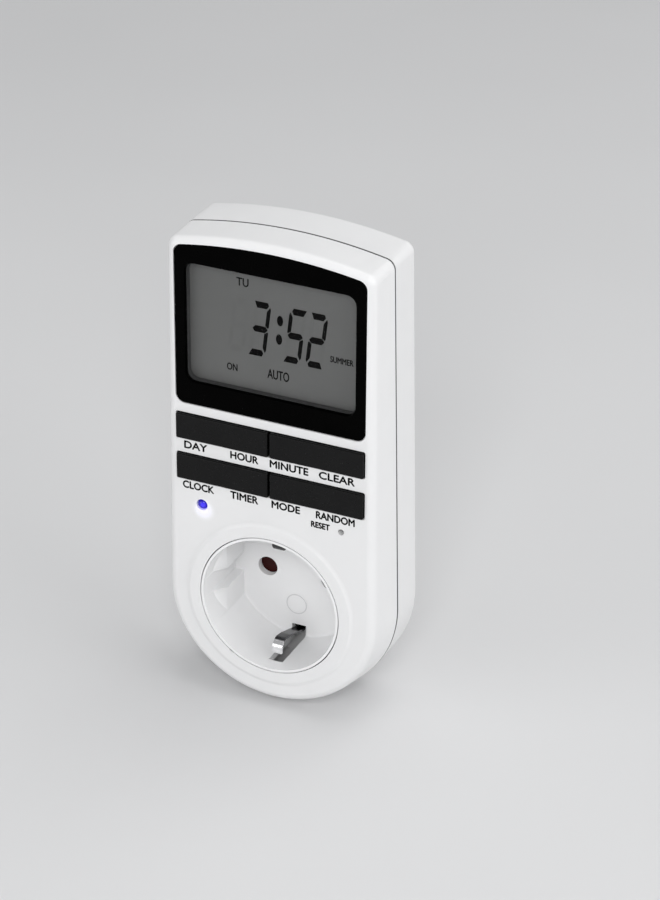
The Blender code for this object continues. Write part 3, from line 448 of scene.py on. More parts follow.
class Shader:
    """A Principled material whose colour, roughness and relief come from noise in object space."""

    def __init__(self, name, roughness, metallic=0.0):
        self.material = bpy.data.materials.new(name)
        self.material.use_nodes = True
        self.tree = self.material.node_tree
        self.shader = self.tree.nodes["Principled BSDF"]
        self.shader.inputs["Metallic"].default_value = metallic
        self.shader.inputs["Roughness"].default_value = roughness
        self.place = self.node("ShaderNodeTexCoord").outputs["Object"]
        self.colour = None
        self.relief = None

    def node(self, kind, **values):
        made = self.tree.nodes.new(kind)
        for key, value in values.items():
            setattr(made, key, value)
        return made

    def link(self, source, target):
        self.tree.links.new(source, target)

    def noise(self, size, detail=3.0, roughness=0.5):
        """Noise from 0 to 1 whose grains are about size metres across."""
        made = self.node("ShaderNodeTexNoise")
        made.inputs["Scale"].default_value = 1 / size
        made.inputs["Detail"].default_value = detail
        made.inputs["Roughness"].default_value = roughness
        self.link(self.place, made.inputs["Vector"])
        return made.outputs["Fac"]

    def cells(self, size):
        """Distance from the nearest of a scatter of points that lie about size metres apart."""
        made = self.node("ShaderNodeTexVoronoi")
        made.inputs["Scale"].default_value = 1 / size
        self.link(self.place, made.inputs["Vector"])
        return made.outputs["Distance"]

    def coordinate(self, axis):
        made = self.node("ShaderNodeSeparateXYZ")
        self.link(self.place, made.inputs["Vector"])
        return made.outputs[axis]

    def distance(self, point):
        made = self.node("ShaderNodeVectorMath", operation="DISTANCE")
        self.link(self.place, made.inputs[0])
        made.inputs[1].default_value = point
        return made.outputs["Value"]

    def maths(self, operation, first, second=0.0):
        """A sum on a socket and a second socket or number."""
        made = self.node("ShaderNodeMath", operation=operation)
        self.link(first, made.inputs[0])
        if isinstance(second, float):
            made.inputs[1].default_value = second
        else:
            self.link(second, made.inputs[1])
        return made.outputs["Value"]

    def close_to(self, source, value, core, edge):
        """1 where source is within core of value, and 0 where it is further away than edge."""
        away = self.maths("ABSOLUTE", self.maths("SUBTRACT", source, value))
        return self.ranged(away, 1.0, 0.0, core, edge)

    def ranged(self, source, low, high, start=0.3, end=0.7):
        """Source taken from the range start to end into the range low to high."""
        made = self.node("ShaderNodeMapRange")
        made.inputs["From Min"].default_value = start
        made.inputs["From Max"].default_value = end
        made.inputs["To Min"].default_value = low
        made.inputs["To Max"].default_value = high
        self.link(source, made.inputs["Value"])
        return made.outputs["Result"]

    def mix(self, factor, first, second):
        """A colour between two, each a tuple or a socket."""
        made = self.node("ShaderNodeMix", data_type="RGBA")
        self.link(factor, made.inputs["Factor"])
        for name, colour in (("A", first), ("B", second)):
            socket = [s for s in made.inputs if s.name == name and s.type == "RGBA"][0]
            if isinstance(colour, tuple):
                socket.default_value = (*colour, 1.0)
            else:
                self.link(colour, socket)
        return [s for s in made.outputs if s.type == "RGBA"][0]

    def tones(self, source, dark, light):
        """Base colour between two tones."""
        self.colour = self.mix(self.ranged(source, 0.0, 1.0), dark, light)
        self.link(self.colour, self.shader.inputs["Base Color"])
        return self

    def paint(self, factor, colour):
        """Lays a colour over the base colour where factor is 1."""
        self.link(self.mix(factor, self.colour, colour), self.shader.inputs["Base Color"])
        return self

    def gloss(self, source, low, high):
        self.link(self.ranged(source, low, high), self.shader.inputs["Roughness"])
        return self

    def bump(self, source, height, strength=1.0):
        """Adds relief of height metres."""
        made = self.node("ShaderNodeBump")
        made.inputs["Distance"].default_value = height
        made.inputs["Strength"].default_value = strength
        self.link(source, made.inputs["Height"])
        if self.relief is not None:
            self.link(self.relief, made.inputs["Normal"])
        self.relief = made.outputs["Normal"]
        self.link(self.relief, self.shader.inputs["Normal"])
        return self

    def setting(self, **values):
        for key, value in values.items():
            self.shader.inputs[key.replace("_", " ")].default_value = value
        return self


def white_plastic(name, tone=0.82):
    """Moulded white ABS: a fine spark-eroded grain, and a very slight unevenness in tone and gloss."""
    made = Shader(name, 0.4)
    made.tones(made.noise(0.009), (tone * 0.985, tone * 0.985, tone * 0.99), (tone, tone, tone * 1.004))
    made.gloss(made.noise(0.004, 4), 0.34, 0.46)
    made.bump(made.noise(0.00035, 2), 0.000006)
    made.bump(made.noise(0.012, 1), 0.00003, 0.3)
    return made


def paint_seam_shadow(made):
    """Paints shadow on the case's plastic in the narrow gap between its two mouldings."""
    # Painted shadow: a thin band at the seam's depth turns dark grey, where shade falls in the gap.
    seam = made.close_to(made.coordinate("Y"), FACE_Y + SEAM_DEPTH, SEAM_SHADE * 0.8, SEAM_SHADE)
    return made.paint(seam, (0.16, 0.16, 0.16))


def face_plastic_with_painted_glow(lamp):
    """White plastic with a painted glow of the lamp's light round and below its hole, and painted shadow
    at the seam.
    """
    made = paint_seam_shadow(white_plastic("white_face"))
    # Painted glow: the face emits pale blue light round a point just below the lamp, fading out within
    # about 4 mm.
    distance = made.distance((lamp.x + 0.0004, FACE_Y, lamp.z - 0.0013))
    core = made.ranged(distance, 1.0, 0.0, 0.0014, 0.0024)
    painted_glow = made.mix(core, (0.80, 0.80, 1.0), (0.42, 0.38, 1.0))
    made.link(painted_glow, made.shader.inputs["Emission Color"])
    painted_glow_fade = made.maths("POWER", made.ranged(distance, 1.0, 0.0, 0.0010, 0.0042), 2.2)
    made.link(made.maths("MULTIPLY", painted_glow_fade, 0.55), made.shader.inputs["Emission Strength"])
    return made.material


def plain_plastic(name, dark, light, roughness, specular=0.5, grain=0.0003, relief=0.000006):
    """Moulded plastic with a fine grain."""
    made = Shader(name, roughness)
    made.tones(made.noise(0.006), dark, light)
    made.gloss(made.noise(0.002, 4), roughness * 0.88, min(roughness * 1.15, 1.0))
    made.bump(made.noise(grain, 2), relief)
    made.setting(Specular_IOR_Level=specular)
    return made.material


def plating(name, dark, light, roughness):
    """Metal with a slight unevenness in its plating."""
    made = Shader(name, roughness, 1.0)
    made.tones(made.noise(0.003, 4), dark, light)
    made.gloss(made.noise(0.0006, 5, 0.6), roughness * 0.75, roughness * 1.3)
    made.bump(made.noise(0.00025, 3, 0.6), 0.000002)
    return made


def metal(name, dark, light, roughness):
    return plating(name, dark, light, roughness).material


def paint_plating_highlights(made):
    """Paints highlight on the lower clip's rounded end and the strips along the plug boss; the rest stays
    dark.
    """
    end = FACE_Y + 0.0053
    front = made.ranged(made.coordinate("Y"), 1.0, 0.0, end, end + 0.0005)
    lower = made.ranged(made.coordinate("Z"), 1.0, 0.0, -0.001, 0.001)
    strips = made.ranged(made.coordinate("Y"), 0.0, 0.8, FACE_Y + 0.0225, FACE_Y + 0.0235)
    # Painted highlight: these parts turn near white, while the rest keeps the plating's dark tones.
    bright = made.maths("MAXIMUM", made.maths("MULTIPLY", front, lower), strips)
    return made.paint(bright, (0.97, 0.97, 0.98))


def paint_ring_shade(made):
    """Paints a faint grey line of shade along the moulded ring on the recess floor."""
    x, z = FLOOR_RING
    distance = made.distance(place(x, FLOOR_DEPTH, z))
    return made.paint(made.close_to(distance, FLOOR_RING_RADIUS, 0.00006, 0.00022), (0.66, 0.66, 0.67))


def clear_plastic():
    """The clear pane: all but a little of the light goes straight through it."""
    made = Shader("window_clear", 0.08)
    made.tones(made.noise(0.01), (0.03, 0.03, 0.03), (0.04, 0.04, 0.04))
    made.gloss(made.noise(0.005), 0.06, 0.10)
    made.setting(Alpha=0.03, Specular_IOR_Level=0.05)
    return made.material


def lamp_blue(lamp):
    """A lit blue lamp: bright near its middle, deep blue towards its rim."""
    made = Shader("lamp_lit", 0.18)
    distance = made.distance((lamp.x + 0.0003, FACE_Y, lamp.z + 0.0001))
    spread = made.ranged(distance, 1.0, 0.0, 0.0001, 0.0011)
    uneven = made.ranged(made.noise(0.0007, 2), 0.85, 1.0)
    colour = made.mix(made.maths("MULTIPLY", spread, uneven), (0.004, 0.0, 0.26), (0.06, 0.04, 0.95))
    made.link(colour, made.shader.inputs["Base Color"])
    made.link(colour, made.shader.inputs["Emission Color"])
    made.setting(Emission_Strength=0.5)
    made.bump(made.noise(0.0005), 0.00001)
    return made.material


def board(name, mask, trace, track):
    """A printed board: solder mask, tracks that follow a distorted wave, and scattered tinned pads."""
    made = Shader(name, 0.4)
    wave = made.node("ShaderNodeTexWave", wave_profile="SAW", bands_direction="Z")
    wave.inputs["Scale"].default_value = 1 / track / 20
    wave.inputs["Distortion"].default_value = 6.0
    wave.inputs["Detail"].default_value = 0.0
    wave.inputs["Detail Scale"].default_value = 90.0
    made.link(made.place, wave.inputs["Vector"])
    tracks = made.ranged(wave.outputs["Fac"], 0.0, 1.0, 0.46, 0.54)
    pads = made.ranged(made.cells(0.0042), 1.0, 0.0, 0.16, 0.20)
    base = made.mix(tracks, mask, trace)
    made.link(made.mix(pads, base, (0.62, 0.62, 0.60)), made.shader.inputs["Base Color"])
    made.gloss(made.noise(0.001, 3), 0.30, 0.48)
    made.bump(tracks, 0.00003)
    return made.material


# ---------------------------------------------------------------- case


def edge_steps(radius):
    """(inset, depth) along a quarter-round edge, from the side to the face."""
    steps = []
    for i in range(EDGE_STEPS + 1):
        turn = math.radians(90 * i / EDGE_STEPS)
        steps.append((radius * (1 - math.cos(turn)), radius * (1 - math.sin(turn))))
    return steps


def make_collar():
    """The raised collar round the socket, with a sloping side and a small chamfer."""
    slope_top = COLLAR_RADIUS - COLLAR_SLOPE
    inner = INSERT_LIP - PAST
    profile = [
        (inner, WALL / 2),
        (COLLAR_RADIUS, WALL / 2),
        (COLLAR_RADIUS, 0.0),
        (slope_top, -COLLAR_HEIGHT * 0.85),
        (slope_top - COLLAR_EDGE, -COLLAR_HEIGHT),
        (inner, -COLLAR_HEIGHT),
    ]
    return turned(profile + profile[:1], 0, 0, ROUND_STEPS)


def key_well(left, right):
    """The opening round a row of two keys."""
    low_x, high_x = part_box(left)[0].x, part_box(right)[1].x
    low_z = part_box(left)[0].z + KEY_LIP - KEY_GAP
    high_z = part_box(left)[1].z - KEY_LIP + KEY_GAP
    return rounded_rectangle(low_x - KEY_GAP, high_x + KEY_GAP, low_z, high_z, WELL_CORNER, 4)


def make_front(plastic):
    """The front moulding: rounded edge, collar, and openings for the display, keys, lamp and reset."""
    back = SEAM_DEPTH - GAP / 2
    step = back - SEAM_STEP
    through = (-PAST, WALL + PAST)
    rings = [case_ring(SEAM_STEP, back), case_ring(SEAM_STEP, step), case_ring(0, step)]
    rings += [case_ring(inset, depth) for inset, depth in edge_steps(FRONT_EDGE)]
    shell = loft(rings, "front_moulding")
    cut(shell, loft([case_ring(WALL, back + PAST), case_ring(WALL, WALL)]))
    unite(shell, make_collar())
    cut(shell, rod(INSERT_LIP + GAP, 0, 0, -3 * PAST, WALL + 2 * PAST, ROUND_STEPS))
    cut(shell, prism(window_outline(WINDOW_GAP), -PAST, WINDOW_THICKNESS + GAP))
    cut(shell, prism(view_outline(VIEW_MARGIN), *through))
    for left, right in KEY_ROWS:
        cut(shell, prism(key_well(left, right), *through))
    lamp = middle("indicator_led")
    cut(shell, rod(LAMP_RADIUS + LAMP_GAP, lamp.x, lamp.z, *through))
    reset = middle("reset_plunger")
    cut(shell, rod(RESET_HOLE, reset.x, reset.z, *through, 24))
    soften(shell, 0.00016)
    return dress(shell, plastic, CASE, "white_plastic", "front_shell")


def make_plug_boss():
    """The plug's round body, with two flats on each side that leave a rib between them."""
    root = CASE_DEPTH - BOSS_ROOT
    profile = [(0, root), (BOSS_RADIUS, root), (BOSS_RADIUS, BOSS_END), (0, BOSS_END)]
    boss = turned(profile, 0, 0, ROUND_STEPS)
    for side in (-1, 1):
        x = mirrored((BOSS_FLAT, BOSS_RADIUS + 2 * PAST), side)
        for way in (-1, 1):
            z = mirrored((BOSS_RIB, BOSS_FLAT_END), way)
            cut(boss, block(x, (CASE_DEPTH, BOSS_END + PAST), z))
    return boss


def make_rear(plastic):
    """The rear moulding: locating tongue, screw recesses and the plug boss with its earth channels."""
    front = SEAM_DEPTH + GAP / 2
    tongue = WALL + GAP
    tongue_front = SEAM_DEPTH - TONGUE_LENGTH
    steps = [(tongue, tongue_front), (tongue, front), (0, front)]
    steps += [(inset, CASE_DEPTH - depth) for inset, depth in edge_steps(REAR_EDGE)]
    shell = loft([case_ring(inset, depth) for inset, depth in steps], "rear_moulding")
    inner = tongue + TONGUE_WALL
    cut(shell, loft([case_ring(inner, tongue_front - PAST), case_ring(inner, CASE_DEPTH - WALL)]))
    unite(shell, make_plug_boss())
    cut(shell, rod(BOSS_CAVITY, 0, 0, CASE_DEPTH - BOSS_CAVITY_FRONT, BOSS_END - WALL, 96))
    for x, z in CASE_SCREWS:
        unite(shell, rod(SCREW_POST, x, z, SCREW_POST_FRONT, CASE_DEPTH - PAST))
        cut(shell, rod(SCREW_RECESS, x, z, SCREW_RECESS_FLOOR, CASE_DEPTH + PAST))
        cut(shell, rod(SCREW_HOLE, x, z, *SCREW_HOLE_DEPTHS))
    across = (-EARTH_CHANNEL_HALF, EARTH_CHANNEL_HALF)
    along_boss = (CASE_DEPTH, BOSS_END + PAST)
    through_wall = (CASE_DEPTH - WALL - PAST, CASE_DEPTH + PAST)
    for side, pin in ((-1, "neutral_pin"), (1, "live_pin")):
        cut(shell, rod(PIN_RADIUS + PIN_GAP, middle(pin).x, 0, BOSS_END - PIN_SOCKET, BOSS_END + PAST))
        cut(shell, block(across, along_boss, mirrored(EARTH_CHANNEL, side)))
        cut(shell, block(across, through_wall, mirrored(EARTH_PASSAGE, side)))
    soften(shell, 0.00025)
    return dress(shell, plastic, CASE, "white_plastic", "rear_shell")


# ---------------------------------------------------------------- display


def make_window(black, clear):
    """A glossy black plate with a flared opening, and a clear pane set into it."""
    border = prism(window_outline(0), 0.0, WINDOW_THICKNESS, "window_border")
    flare = [ring_at(view_outline(VIEW_FLARE), -PAST), ring_at(view_outline(VIEW_FLARE), 0.0)]
    flare += [ring_at(view_outline(0), WINDOW_THICKNESS), ring_at(view_outline(0), WALL)]
    cut(border, loft(flare))
    soften(border, 0.00008)
    dress(border, black, CASE, "gloss_black", "display_window")
    pane = prism(
        view_outline(-PANE_GAP),
        WINDOW_THICKNESS - PANE_FRONT,
        WINDOW_THICKNESS - PANE_BACK,
        "window_pane",
    )
    pane.data.shade_flat()
    dress(pane, clear, CASE, "gloss_black")


DIGIT_BARS = {2: "abged", 3: "abgcd", 5: "afgcd", 8: "abcdefg"}
DIGIT_LOW = 0.0728
DIGIT_HIGH = 0.08865
DIGIT_WIDTH = 0.00480
DIGIT_LEFTS = (-0.0136, -0.00748, 0.00258, 0.00872)
BAR_THICKNESS = 0.00186
COLON_DOTS = ((0.00163, 0.08425), (0.00133, 0.07885))
COLON_HALF_WIDTH = 0.00088
COLON_HALF_HEIGHT = 0.00150


def slanted(points, origin, foot):
    """Leans outline points about the digit's foot and moves them to their origin."""
    lean = math.tan(math.radians(DIGIT_LEAN))
    return [(origin + x + (z - foot) * lean, z) for x, z in points]


def flat_bar(width, outer_z, inner_z, left_free, right_free):
    """A top or bottom bar: mitred at an end that stands free, blunt where an upright meets it."""
    ends = []
    for free in (left_free, right_free):
        tip_z = (outer_z + inner_z) / 2
        if free:
            ends.append([(0.0, outer_z), (0.00080, inner_z)])
        else:
            ends.append([(0.00105, outer_z), (0.00067, tip_z), (0.00122, inner_z)])
    return ends[0] + [(width - x, z) for x, z in reversed(ends[1])]


def upright_bar(outer, way, end_z, middle_z):
    """One upright, between the middle bar and the top or bottom bar; way points inwards along X."""
    up = 1 if end_z > middle_z else -1
    outline = [
        (0.00029, end_z - up * 0.00125),
        (0.0, end_z - up * 0.00190),
        (0.0, middle_z + up * 0.00085),
        (0.00026, middle_z + up * 0.00050),
        (0.00108, middle_z + up * 0.00118),
        (0.00108, end_z - up * 0.00265),
    ]
    return [(outer + way * x, z) for x, z in outline]


def segment_outlines(digit, width, low, high):
    """The bars of one digit as outlines in X and Z."""
    bars = DIGIT_BARS[digit]
    middle_z = (low + high) / 2
    found = []
    if "a" in bars:
        found.append(flat_bar(width, high, high - BAR_THICKNESS, "f" not in bars, "b" not in bars))
    if "d" in bars:
        found.append(flat_bar(width, low, low + BAR_THICKNESS, "e" not in bars, "c" not in bars))
    if "g" in bars:
        tip, shoulder, half = 0.00020, 0.00095, BAR_THICKNESS / 2
        top = [(shoulder, middle_z + half), (width - shoulder, middle_z + half), (width - tip, middle_z)]
        found.append([(tip, middle_z), *top] + [(x, 2 * middle_z - z) for x, z in reversed(top[:2])])
    uprights = {"b": (width, -1, high), "c": (width, -1, low), "e": (0, 1, low), "f": (0, 1, high)}
    for name, (outer, way, end_z) in uprights.items():
        if name in bars:
            found.append(upright_bar(outer, way, end_z, middle_z))
    return found


def make_segments(name, digits, height, ink):
    """Display bars as one thin sheet; digits holds each digit and where its left edge is."""
    shape = bmesh.new()
    for digit, left in digits:
        for bar in segment_outlines(digit, DIGIT_WIDTH, DIGIT_LOW, DIGIT_HIGH):
            add_sheet(shape, slanted(bar, left, DIGIT_LOW), height)
    return dress(add_object(name, shape), ink, CASE, "lcd_glass")


def add_sheet(shape, outline, height):
    """Adds a thin raised outline to the front of the display glass."""
    rings = []
    for depth in (LCD_DEPTH + INK_HEIGHT / 3, LCD_DEPTH - height):
        rings.append([shape.verts.new(place(x, depth, z)) for x, z in outline])
    for i in range(len(outline)):
        j = (i + 1) % len(outline)
        shape.faces.new((rings[0][i], rings[0][j], rings[1][j], rings[1][i]))
    shape.faces.new(rings[0])
    shape.faces.new(rings[1])


def make_colon(ink):
    shape = bmesh.new()
    for x, z in COLON_DOTS:
        outline = [(x + u * COLON_HALF_WIDTH, z + v * COLON_HALF_HEIGHT) for u, v in circle(0, 0, 1.0, 32)]
        add_sheet(shape, outline, INK_HEIGHT)
    return dress(add_object("display_colon", shape), ink, CASE, "lcd_glass")


def make_text(name, words, box, depth, ink, slot, weight):
    """One generic word as a thin raised print that just fills box, (low x, high x, low z, high z).

    It is printed five times, once in place and once moved by weight each way along X and Z.
    """
    curve = bpy.data.curves.new(name, "FONT")
    curve.body = words
    curve.size = (box[3] - box[2]) / FONT_CAP
    curve.extrude = INK_HEIGHT / 2
    curve.resolution_u = 4
    maker = bpy.data.objects.new(name + "_curve", curve)
    bpy.context.scene.collection.objects.link(maker)
    graph = bpy.context.evaluated_depsgraph_get()
    mesh = bpy.data.meshes.new_from_object(maker.evaluated_get(graph))
    bpy.data.objects.remove(maker)
    across = [vertex.co.x for vertex in mesh.vertices]
    upward = [vertex.co.y for vertex in mesh.vertices]
    centre = Vector((-(min(across) + max(across)) / 2, -(min(upward) + max(upward)) / 2, 0))
    mesh.transform(Matrix.Translation(centre))
    wide = (box[1] - box[0]) / (max(across) - min(across))
    tall = (box[3] - box[2]) / (max(upward) - min(upward))
    mesh.transform(Matrix.Diagonal((wide, tall, 1, 1)))
    mesh.transform(Matrix.Rotation(math.radians(90), 4, "X"))
    middle_place = place((box[0] + box[1]) / 2, depth - INK_HEIGHT / 2, (box[2] + box[3]) / 2)
    mesh.transform(Matrix.Translation(middle_place))
    shape = bmesh.new()
    for i, (right, up) in enumerate(((0, 0), (-1, 0), (1, 0), (0, -1), (0, 1))):
        before = len(shape.verts)
        shape.from_mesh(mesh)
        shape.verts.ensure_lookup_table()
        shift = Vector((right * weight, -i * INK_HEIGHT / 10, up * weight))
        bmesh.ops.translate(shape, vec=shift, verts=shape.verts[before:])
    shape.to_mesh(mesh)
    shape.free()
    word = bpy.data.objects.new(name, mesh)
    bpy.context.scene.collection.objects.link(word)
    return dress(word, ink, CASE, slot)


def make_display_figures(ink, faint):
    """Time of day in bars, with the unlit leading figure and bars just visible, and short plain words."""
    make_segments("display_digits", zip((3, 5, 2), DIGIT_LEFTS[1:]), INK_HEIGHT, ink)
    make_segments("display_unlit_digits", [(8, left) for left in DIGIT_LEFTS], INK_HEIGHT / 3, faint)
    make_colon(ink)
    for name, words, box in (
        ("display_day", "TU", (-0.0108, -0.0074, 0.0920, 0.0943)),
        ("display_on", "ON", (-0.0138, -0.0108, 0.0670, 0.0690)),
        ("display_auto", "AUTO", (-0.0020, 0.0042, 0.0670, 0.0697)),
        ("display_season", "SUMMER", (0.0160, 0.0225, 0.0756, 0.0773)),
    ):
        make_text(name, words, box, LCD_DEPTH, ink, "lcd_glass", DISPLAY_WEIGHT)


# ---------------------------------------------------------------- keys, lamp and reset


def make_key(node, body, rubber):
    """A rocker cap with rounded edges and a very shallow valley down its middle."""
    low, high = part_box(node)
    low_z, high_z = low.z + KEY_LIP, high.z - KEY_LIP
    centre = (low.x + high.x) / 2
    proud = low.y - FACE_Y
    outline = [
        (low.x, proud),
        (centre - KEY_VALLEY_HALF, proud + KEY_VALLEY * 0.94),
        (centre, proud + KEY_VALLEY),
        (centre + KEY_VALLEY_HALF, proud + KEY_VALLEY * 0.94),
        (high.x, proud),
        (high.x, KEY_BACK),
        (low.x, KEY_BACK),
    ]
    cap = top_prism(outline, low_z, high_z, node.replace("key_", "cap_"))
    hollow_x = (low.x + KEY_WALL, high.x - KEY_WALL)
    hollow_z = (low_z + KEY_WALL, high_z - KEY_WALL)
    cut(cap, block(hollow_x, (KEY_FRONT, KEY_BACK + PAST), hollow_z))
    soften(cap, 0.00060, 4, 30)
    return dress(cap, rubber, body, "key_black", node)


def make_labels(ink):
    """Plain function words under the keys, and beside the reset hole."""
    upper, lower, tall = 0.04245, 0.03030, 0.0021
    for words, left, right, low, high in (
        ("DAY", -0.0252, -0.0185, upper, upper + tall),
        ("HOUR", -0.0115, -0.0034, upper, upper + tall),
        ("MINUTE", 0.0001, 0.0112, upper, upper + tall),
        ("CLEAR", 0.0144, 0.0246, upper, upper + tall),
        ("CLOCK", -0.0258, -0.0166, lower, lower + tall),
        ("TIMER", -0.0116, -0.0035, lower, lower + tall),
        ("MODE", 0.0006, 0.0088, lower, lower + tall),
        ("RANDOM", 0.0136, 0.0247, lower, lower + tall),
        ("RESET", 0.0122, 0.0175, 0.0274, 0.0291),
    ):
        name = "label_" + words.lower()
        make_text(name, words, (left, right, low, high), 0.0, ink, "key_black", LABEL_WEIGHT)


def make_lamp(blue):
    """The indicator's dome, straight side and flange."""
    lamp = middle("indicator_led")
    profile = [(0, -LAMP_PROUD)]
    for angle in range(8, 91, 8):
        turn = math.radians(angle)
        profile.append((LAMP_RADIUS * math.sin(turn), LAMP_DOME * (1 - math.cos(turn)) - LAMP_PROUD))
    flange_front, flange_back = LAMP_FLANGE_DEPTHS
    profile += [
        (LAMP_RADIUS, LAMP_DOME),
        (LAMP_RADIUS, flange_front),
        (LAMP_RADIUS + LAMP_FLANGE, flange_front),
        (LAMP_RADIUS + LAMP_FLANGE, flange_back),
        (0, flange_back),
    ]
    dome = turned(profile, lamp.x, lamp.z, 48, "lamp_dome")
    dome.data.shade_smooth()
    dome.data.set_sharp_from_angle(angle=math.radians(40))
    return dress(dome, blue, CASE, "led_blue", "indicator_led")


# ---------------------------------------------------------------- socket


def make_guide_pad(side_x, side_z):
    """One guide pad on the recess wall beside the central groove, with a sloping front."""
    back = FLOOR_DEPTH + 0.0005
    slope_front, slope_back = PAD_SLOPE
    outline = [
        (side_x * PAD_FLAT, slope_back),
        (side_x * PAD_OUT, slope_front),
        (side_x * PAD_OUT, back),
        (side_x * PAD_FLAT, back),
    ]
    pad = top_prism(outline, *mirrored((PAD_GROOVE, PAD_END), side_z))
    return keep_inside(pad, rod(MOUTH_RADIUS + PAST, 0, 0, -PAST, 0.022, ROUND_STEPS))


def make_socket(plastic):
    """The recess: lip, wall with guide pads, floor with pin holes and a raised ring, and earth slots."""
    back = FLOOR_DEPTH + FLOOR_THICKNESS
    shoulder = WALL + GAP
    profile = [
        (0, back),
        (INSERT_RADIUS, back),
        (INSERT_RADIUS, shoulder + FLANGE_THICKNESS),
        (FLANGE_RADIUS, shoulder + FLANGE_THICKNESS),
        (FLANGE_RADIUS, shoulder),
        (INSERT_LIP, shoulder),
        (INSERT_LIP, -COLLAR_HEIGHT),
        (MOUTH_RADIUS, -COLLAR_HEIGHT),
        (MOUTH_RADIUS, FLOOR_DEPTH - FLOOR_CURVE),
        (MOUTH_RADIUS - FLOOR_CURVE / 3, FLOOR_DEPTH - FLOOR_CURVE / 3),
        (MOUTH_RADIUS - FLOOR_CURVE, FLOOR_DEPTH),
        (0, FLOOR_DEPTH),
    ]
    well = turned(profile, 0, 0, ROUND_STEPS, "socket_well")
    for side_x in (-1, 1):
        for side_z in (-1, 1):
            unite(well, make_guide_pad(side_x, side_z))
        pin_x = side_x * abs(middle("live_pin").x)
        cut(well, rod(PIN_HOLE_RADIUS, pin_x, 0, FLOOR_DEPTH - 2 * PAST, back + PAST, 48))
        across = (-EARTH_SLOT, EARTH_SLOT)
        wall_slot = mirrored((0.0180, FLANGE_RADIUS + 0.0005), side_x)
        floor_slot = mirrored((0.0164, 0.0210), side_x)
        cut(well, block(across, (EARTH_SLOT_FRONT, back + PAST), wall_slot))
        cut(well, block(across, (FLOOR_DEPTH - PAST, back + PAST), floor_slot))
    foot, top = FLOOR_DEPTH + 0.0001, FLOOR_DEPTH - FLOOR_RING_HALF
    inner, outer = FLOOR_RING_RADIUS - FLOOR_RING_HALF, FLOOR_RING_RADIUS + FLOOR_RING_HALF
    ring = [(inner, foot), (inner, top), (outer, top), (outer, foot), (inner, foot)]
    unite(well, turned(ring, *FLOOR_RING, 64))
    soften(well, 0.00018)
    return dress(well, plastic, CASE, "white_plastic", "socket_insert")


def make_earth_spring(chrome):
    """The plated earth bracket: a sprung clip above and below, a link, and strips along the plug boss."""
    sheet, clip_half, strip_half, link_half = 0.0006, 0.00145, 0.0026, 0.0020
    tip = [(0.0045, 0.0178), (0.0045, 0.0160), (0.0052, 0.0148), (0.0066, 0.0142)]
    leg = [(0.0096, 0.0148), (0.0138, 0.0162), (0.0185, 0.0178), (0.0212, 0.0182)]
    plug = [(0.0206, 0.0182), (0.0222, 0.0182), (0.0242, 0.0169), (0.0418, 0.0169)]
    link = ribbon([(0.0228, -0.0178), (0.0228, 0.0178)], sheet)
    bracket = side_prism(link, -link_half, link_half, "earth_spring")
    for side in (-1, 1):
        clip = rounded_path([(depth, side * z) for depth, z in tip + leg], 0.0007)
        strip = rounded_path([(depth, side * z) for depth, z in plug], 0.0008)
        unite(bracket, side_prism(ribbon(strip, sheet), -strip_half, strip_half))
        unite(bracket, side_prism(ribbon(clip, sheet), -clip_half, clip_half))
    soften(bracket, 0.00012, 2, 50)
    return dress(bracket, chrome, CASE, "plated_brass", "earth_bracket")


def make_plug_pin(node, nickel):
    """A solid round plug pin with a flat head inside the boss and a domed tip."""
    head = BOSS_END - WALL - GAP
    front = head - PIN_HEAD
    profile = [(0, front), (PIN_HEAD_RADIUS, front), (PIN_HEAD_RADIUS, head), (PIN_RADIUS, head)]
    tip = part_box(node)[1].y - FACE_Y
    for i in range(EDGE_STEPS):
        turn = math.radians(90 * i / EDGE_STEPS)
        radius = PIN_RADIUS * math.cos(turn) ** 0.8
        profile.append((radius, tip - PIN_DOME + PIN_DOME * math.sin(turn)))
    profile.append((0, tip))
    pin = turned(profile, middle(node).x, 0, 64, node.replace("_pin", "_plug_pin"))
    soften(pin, 0.00010, 2, 50)
    return dress(pin, nickel, CASE, "nickel", node)


def make_shutter_spring(steel):
    """The leaf that returns the shutter: a thin bent strip behind the recess floor."""
    path = [(-0.0024, 0.0090), (0.0036, 0.0090), (0.0066, 0.0079), (0.0083, 0.0058), (0.0086, 0.0040)]
    leaf_outline = ribbon(rounded_path(path, 0.0014, 6), 0.00035)
    back = FLOOR_DEPTH + FLOOR_THICKNESS
    leaf = prism(leaf_outline, back + 0.0004, back + 0.0014, "shutter_return_leaf")
    leaf.data.shade_smooth()
    leaf.data.set_sharp_from_angle(angle=math.radians(40))
    leaf.data.materials.append(steel)
    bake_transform(leaf)
    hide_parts("shutter_spring")
    return leaf


# ---------------------------------------------------------------- stage


def make_floor():
    """A pale matt floor that reaches past the camera's view."""
    shape = bmesh.new()
    bmesh.ops.create_grid(shape, x_segments=1, y_segments=1, size=3.0)
    floor = add_object("floor", shape)
    floor.location.z = REAR_LOW.z - 0.0001
    made = Shader("floor_pale", 0.75)
    made.tones(made.noise(0.25, 2), (0.70, 0.70, 0.705), (0.73, 0.73, 0.735))
    made.gloss(made.noise(0.05), 0.70, 0.82)
    made.bump(made.noise(0.002), 0.00002)
    floor.data.materials.append(made.material)


def make_light(name, place_at, size, power):
    """A soft square light that points at the middle of the object."""
    lamp = bpy.data.lights.new(name, "AREA")
    lamp.shape = "SQUARE"
    lamp.size = size
    lamp.energy = power
    light = bpy.data.objects.new(name, lamp)
    light.location = place_at
    aim = (cad_box[0] + cad_box[1]) / 2
    light.rotation_euler = (aim - Vector(place_at)).to_track_quat("-Z", "Y").to_euler()
    bpy.context.scene.collection.objects.link(light)


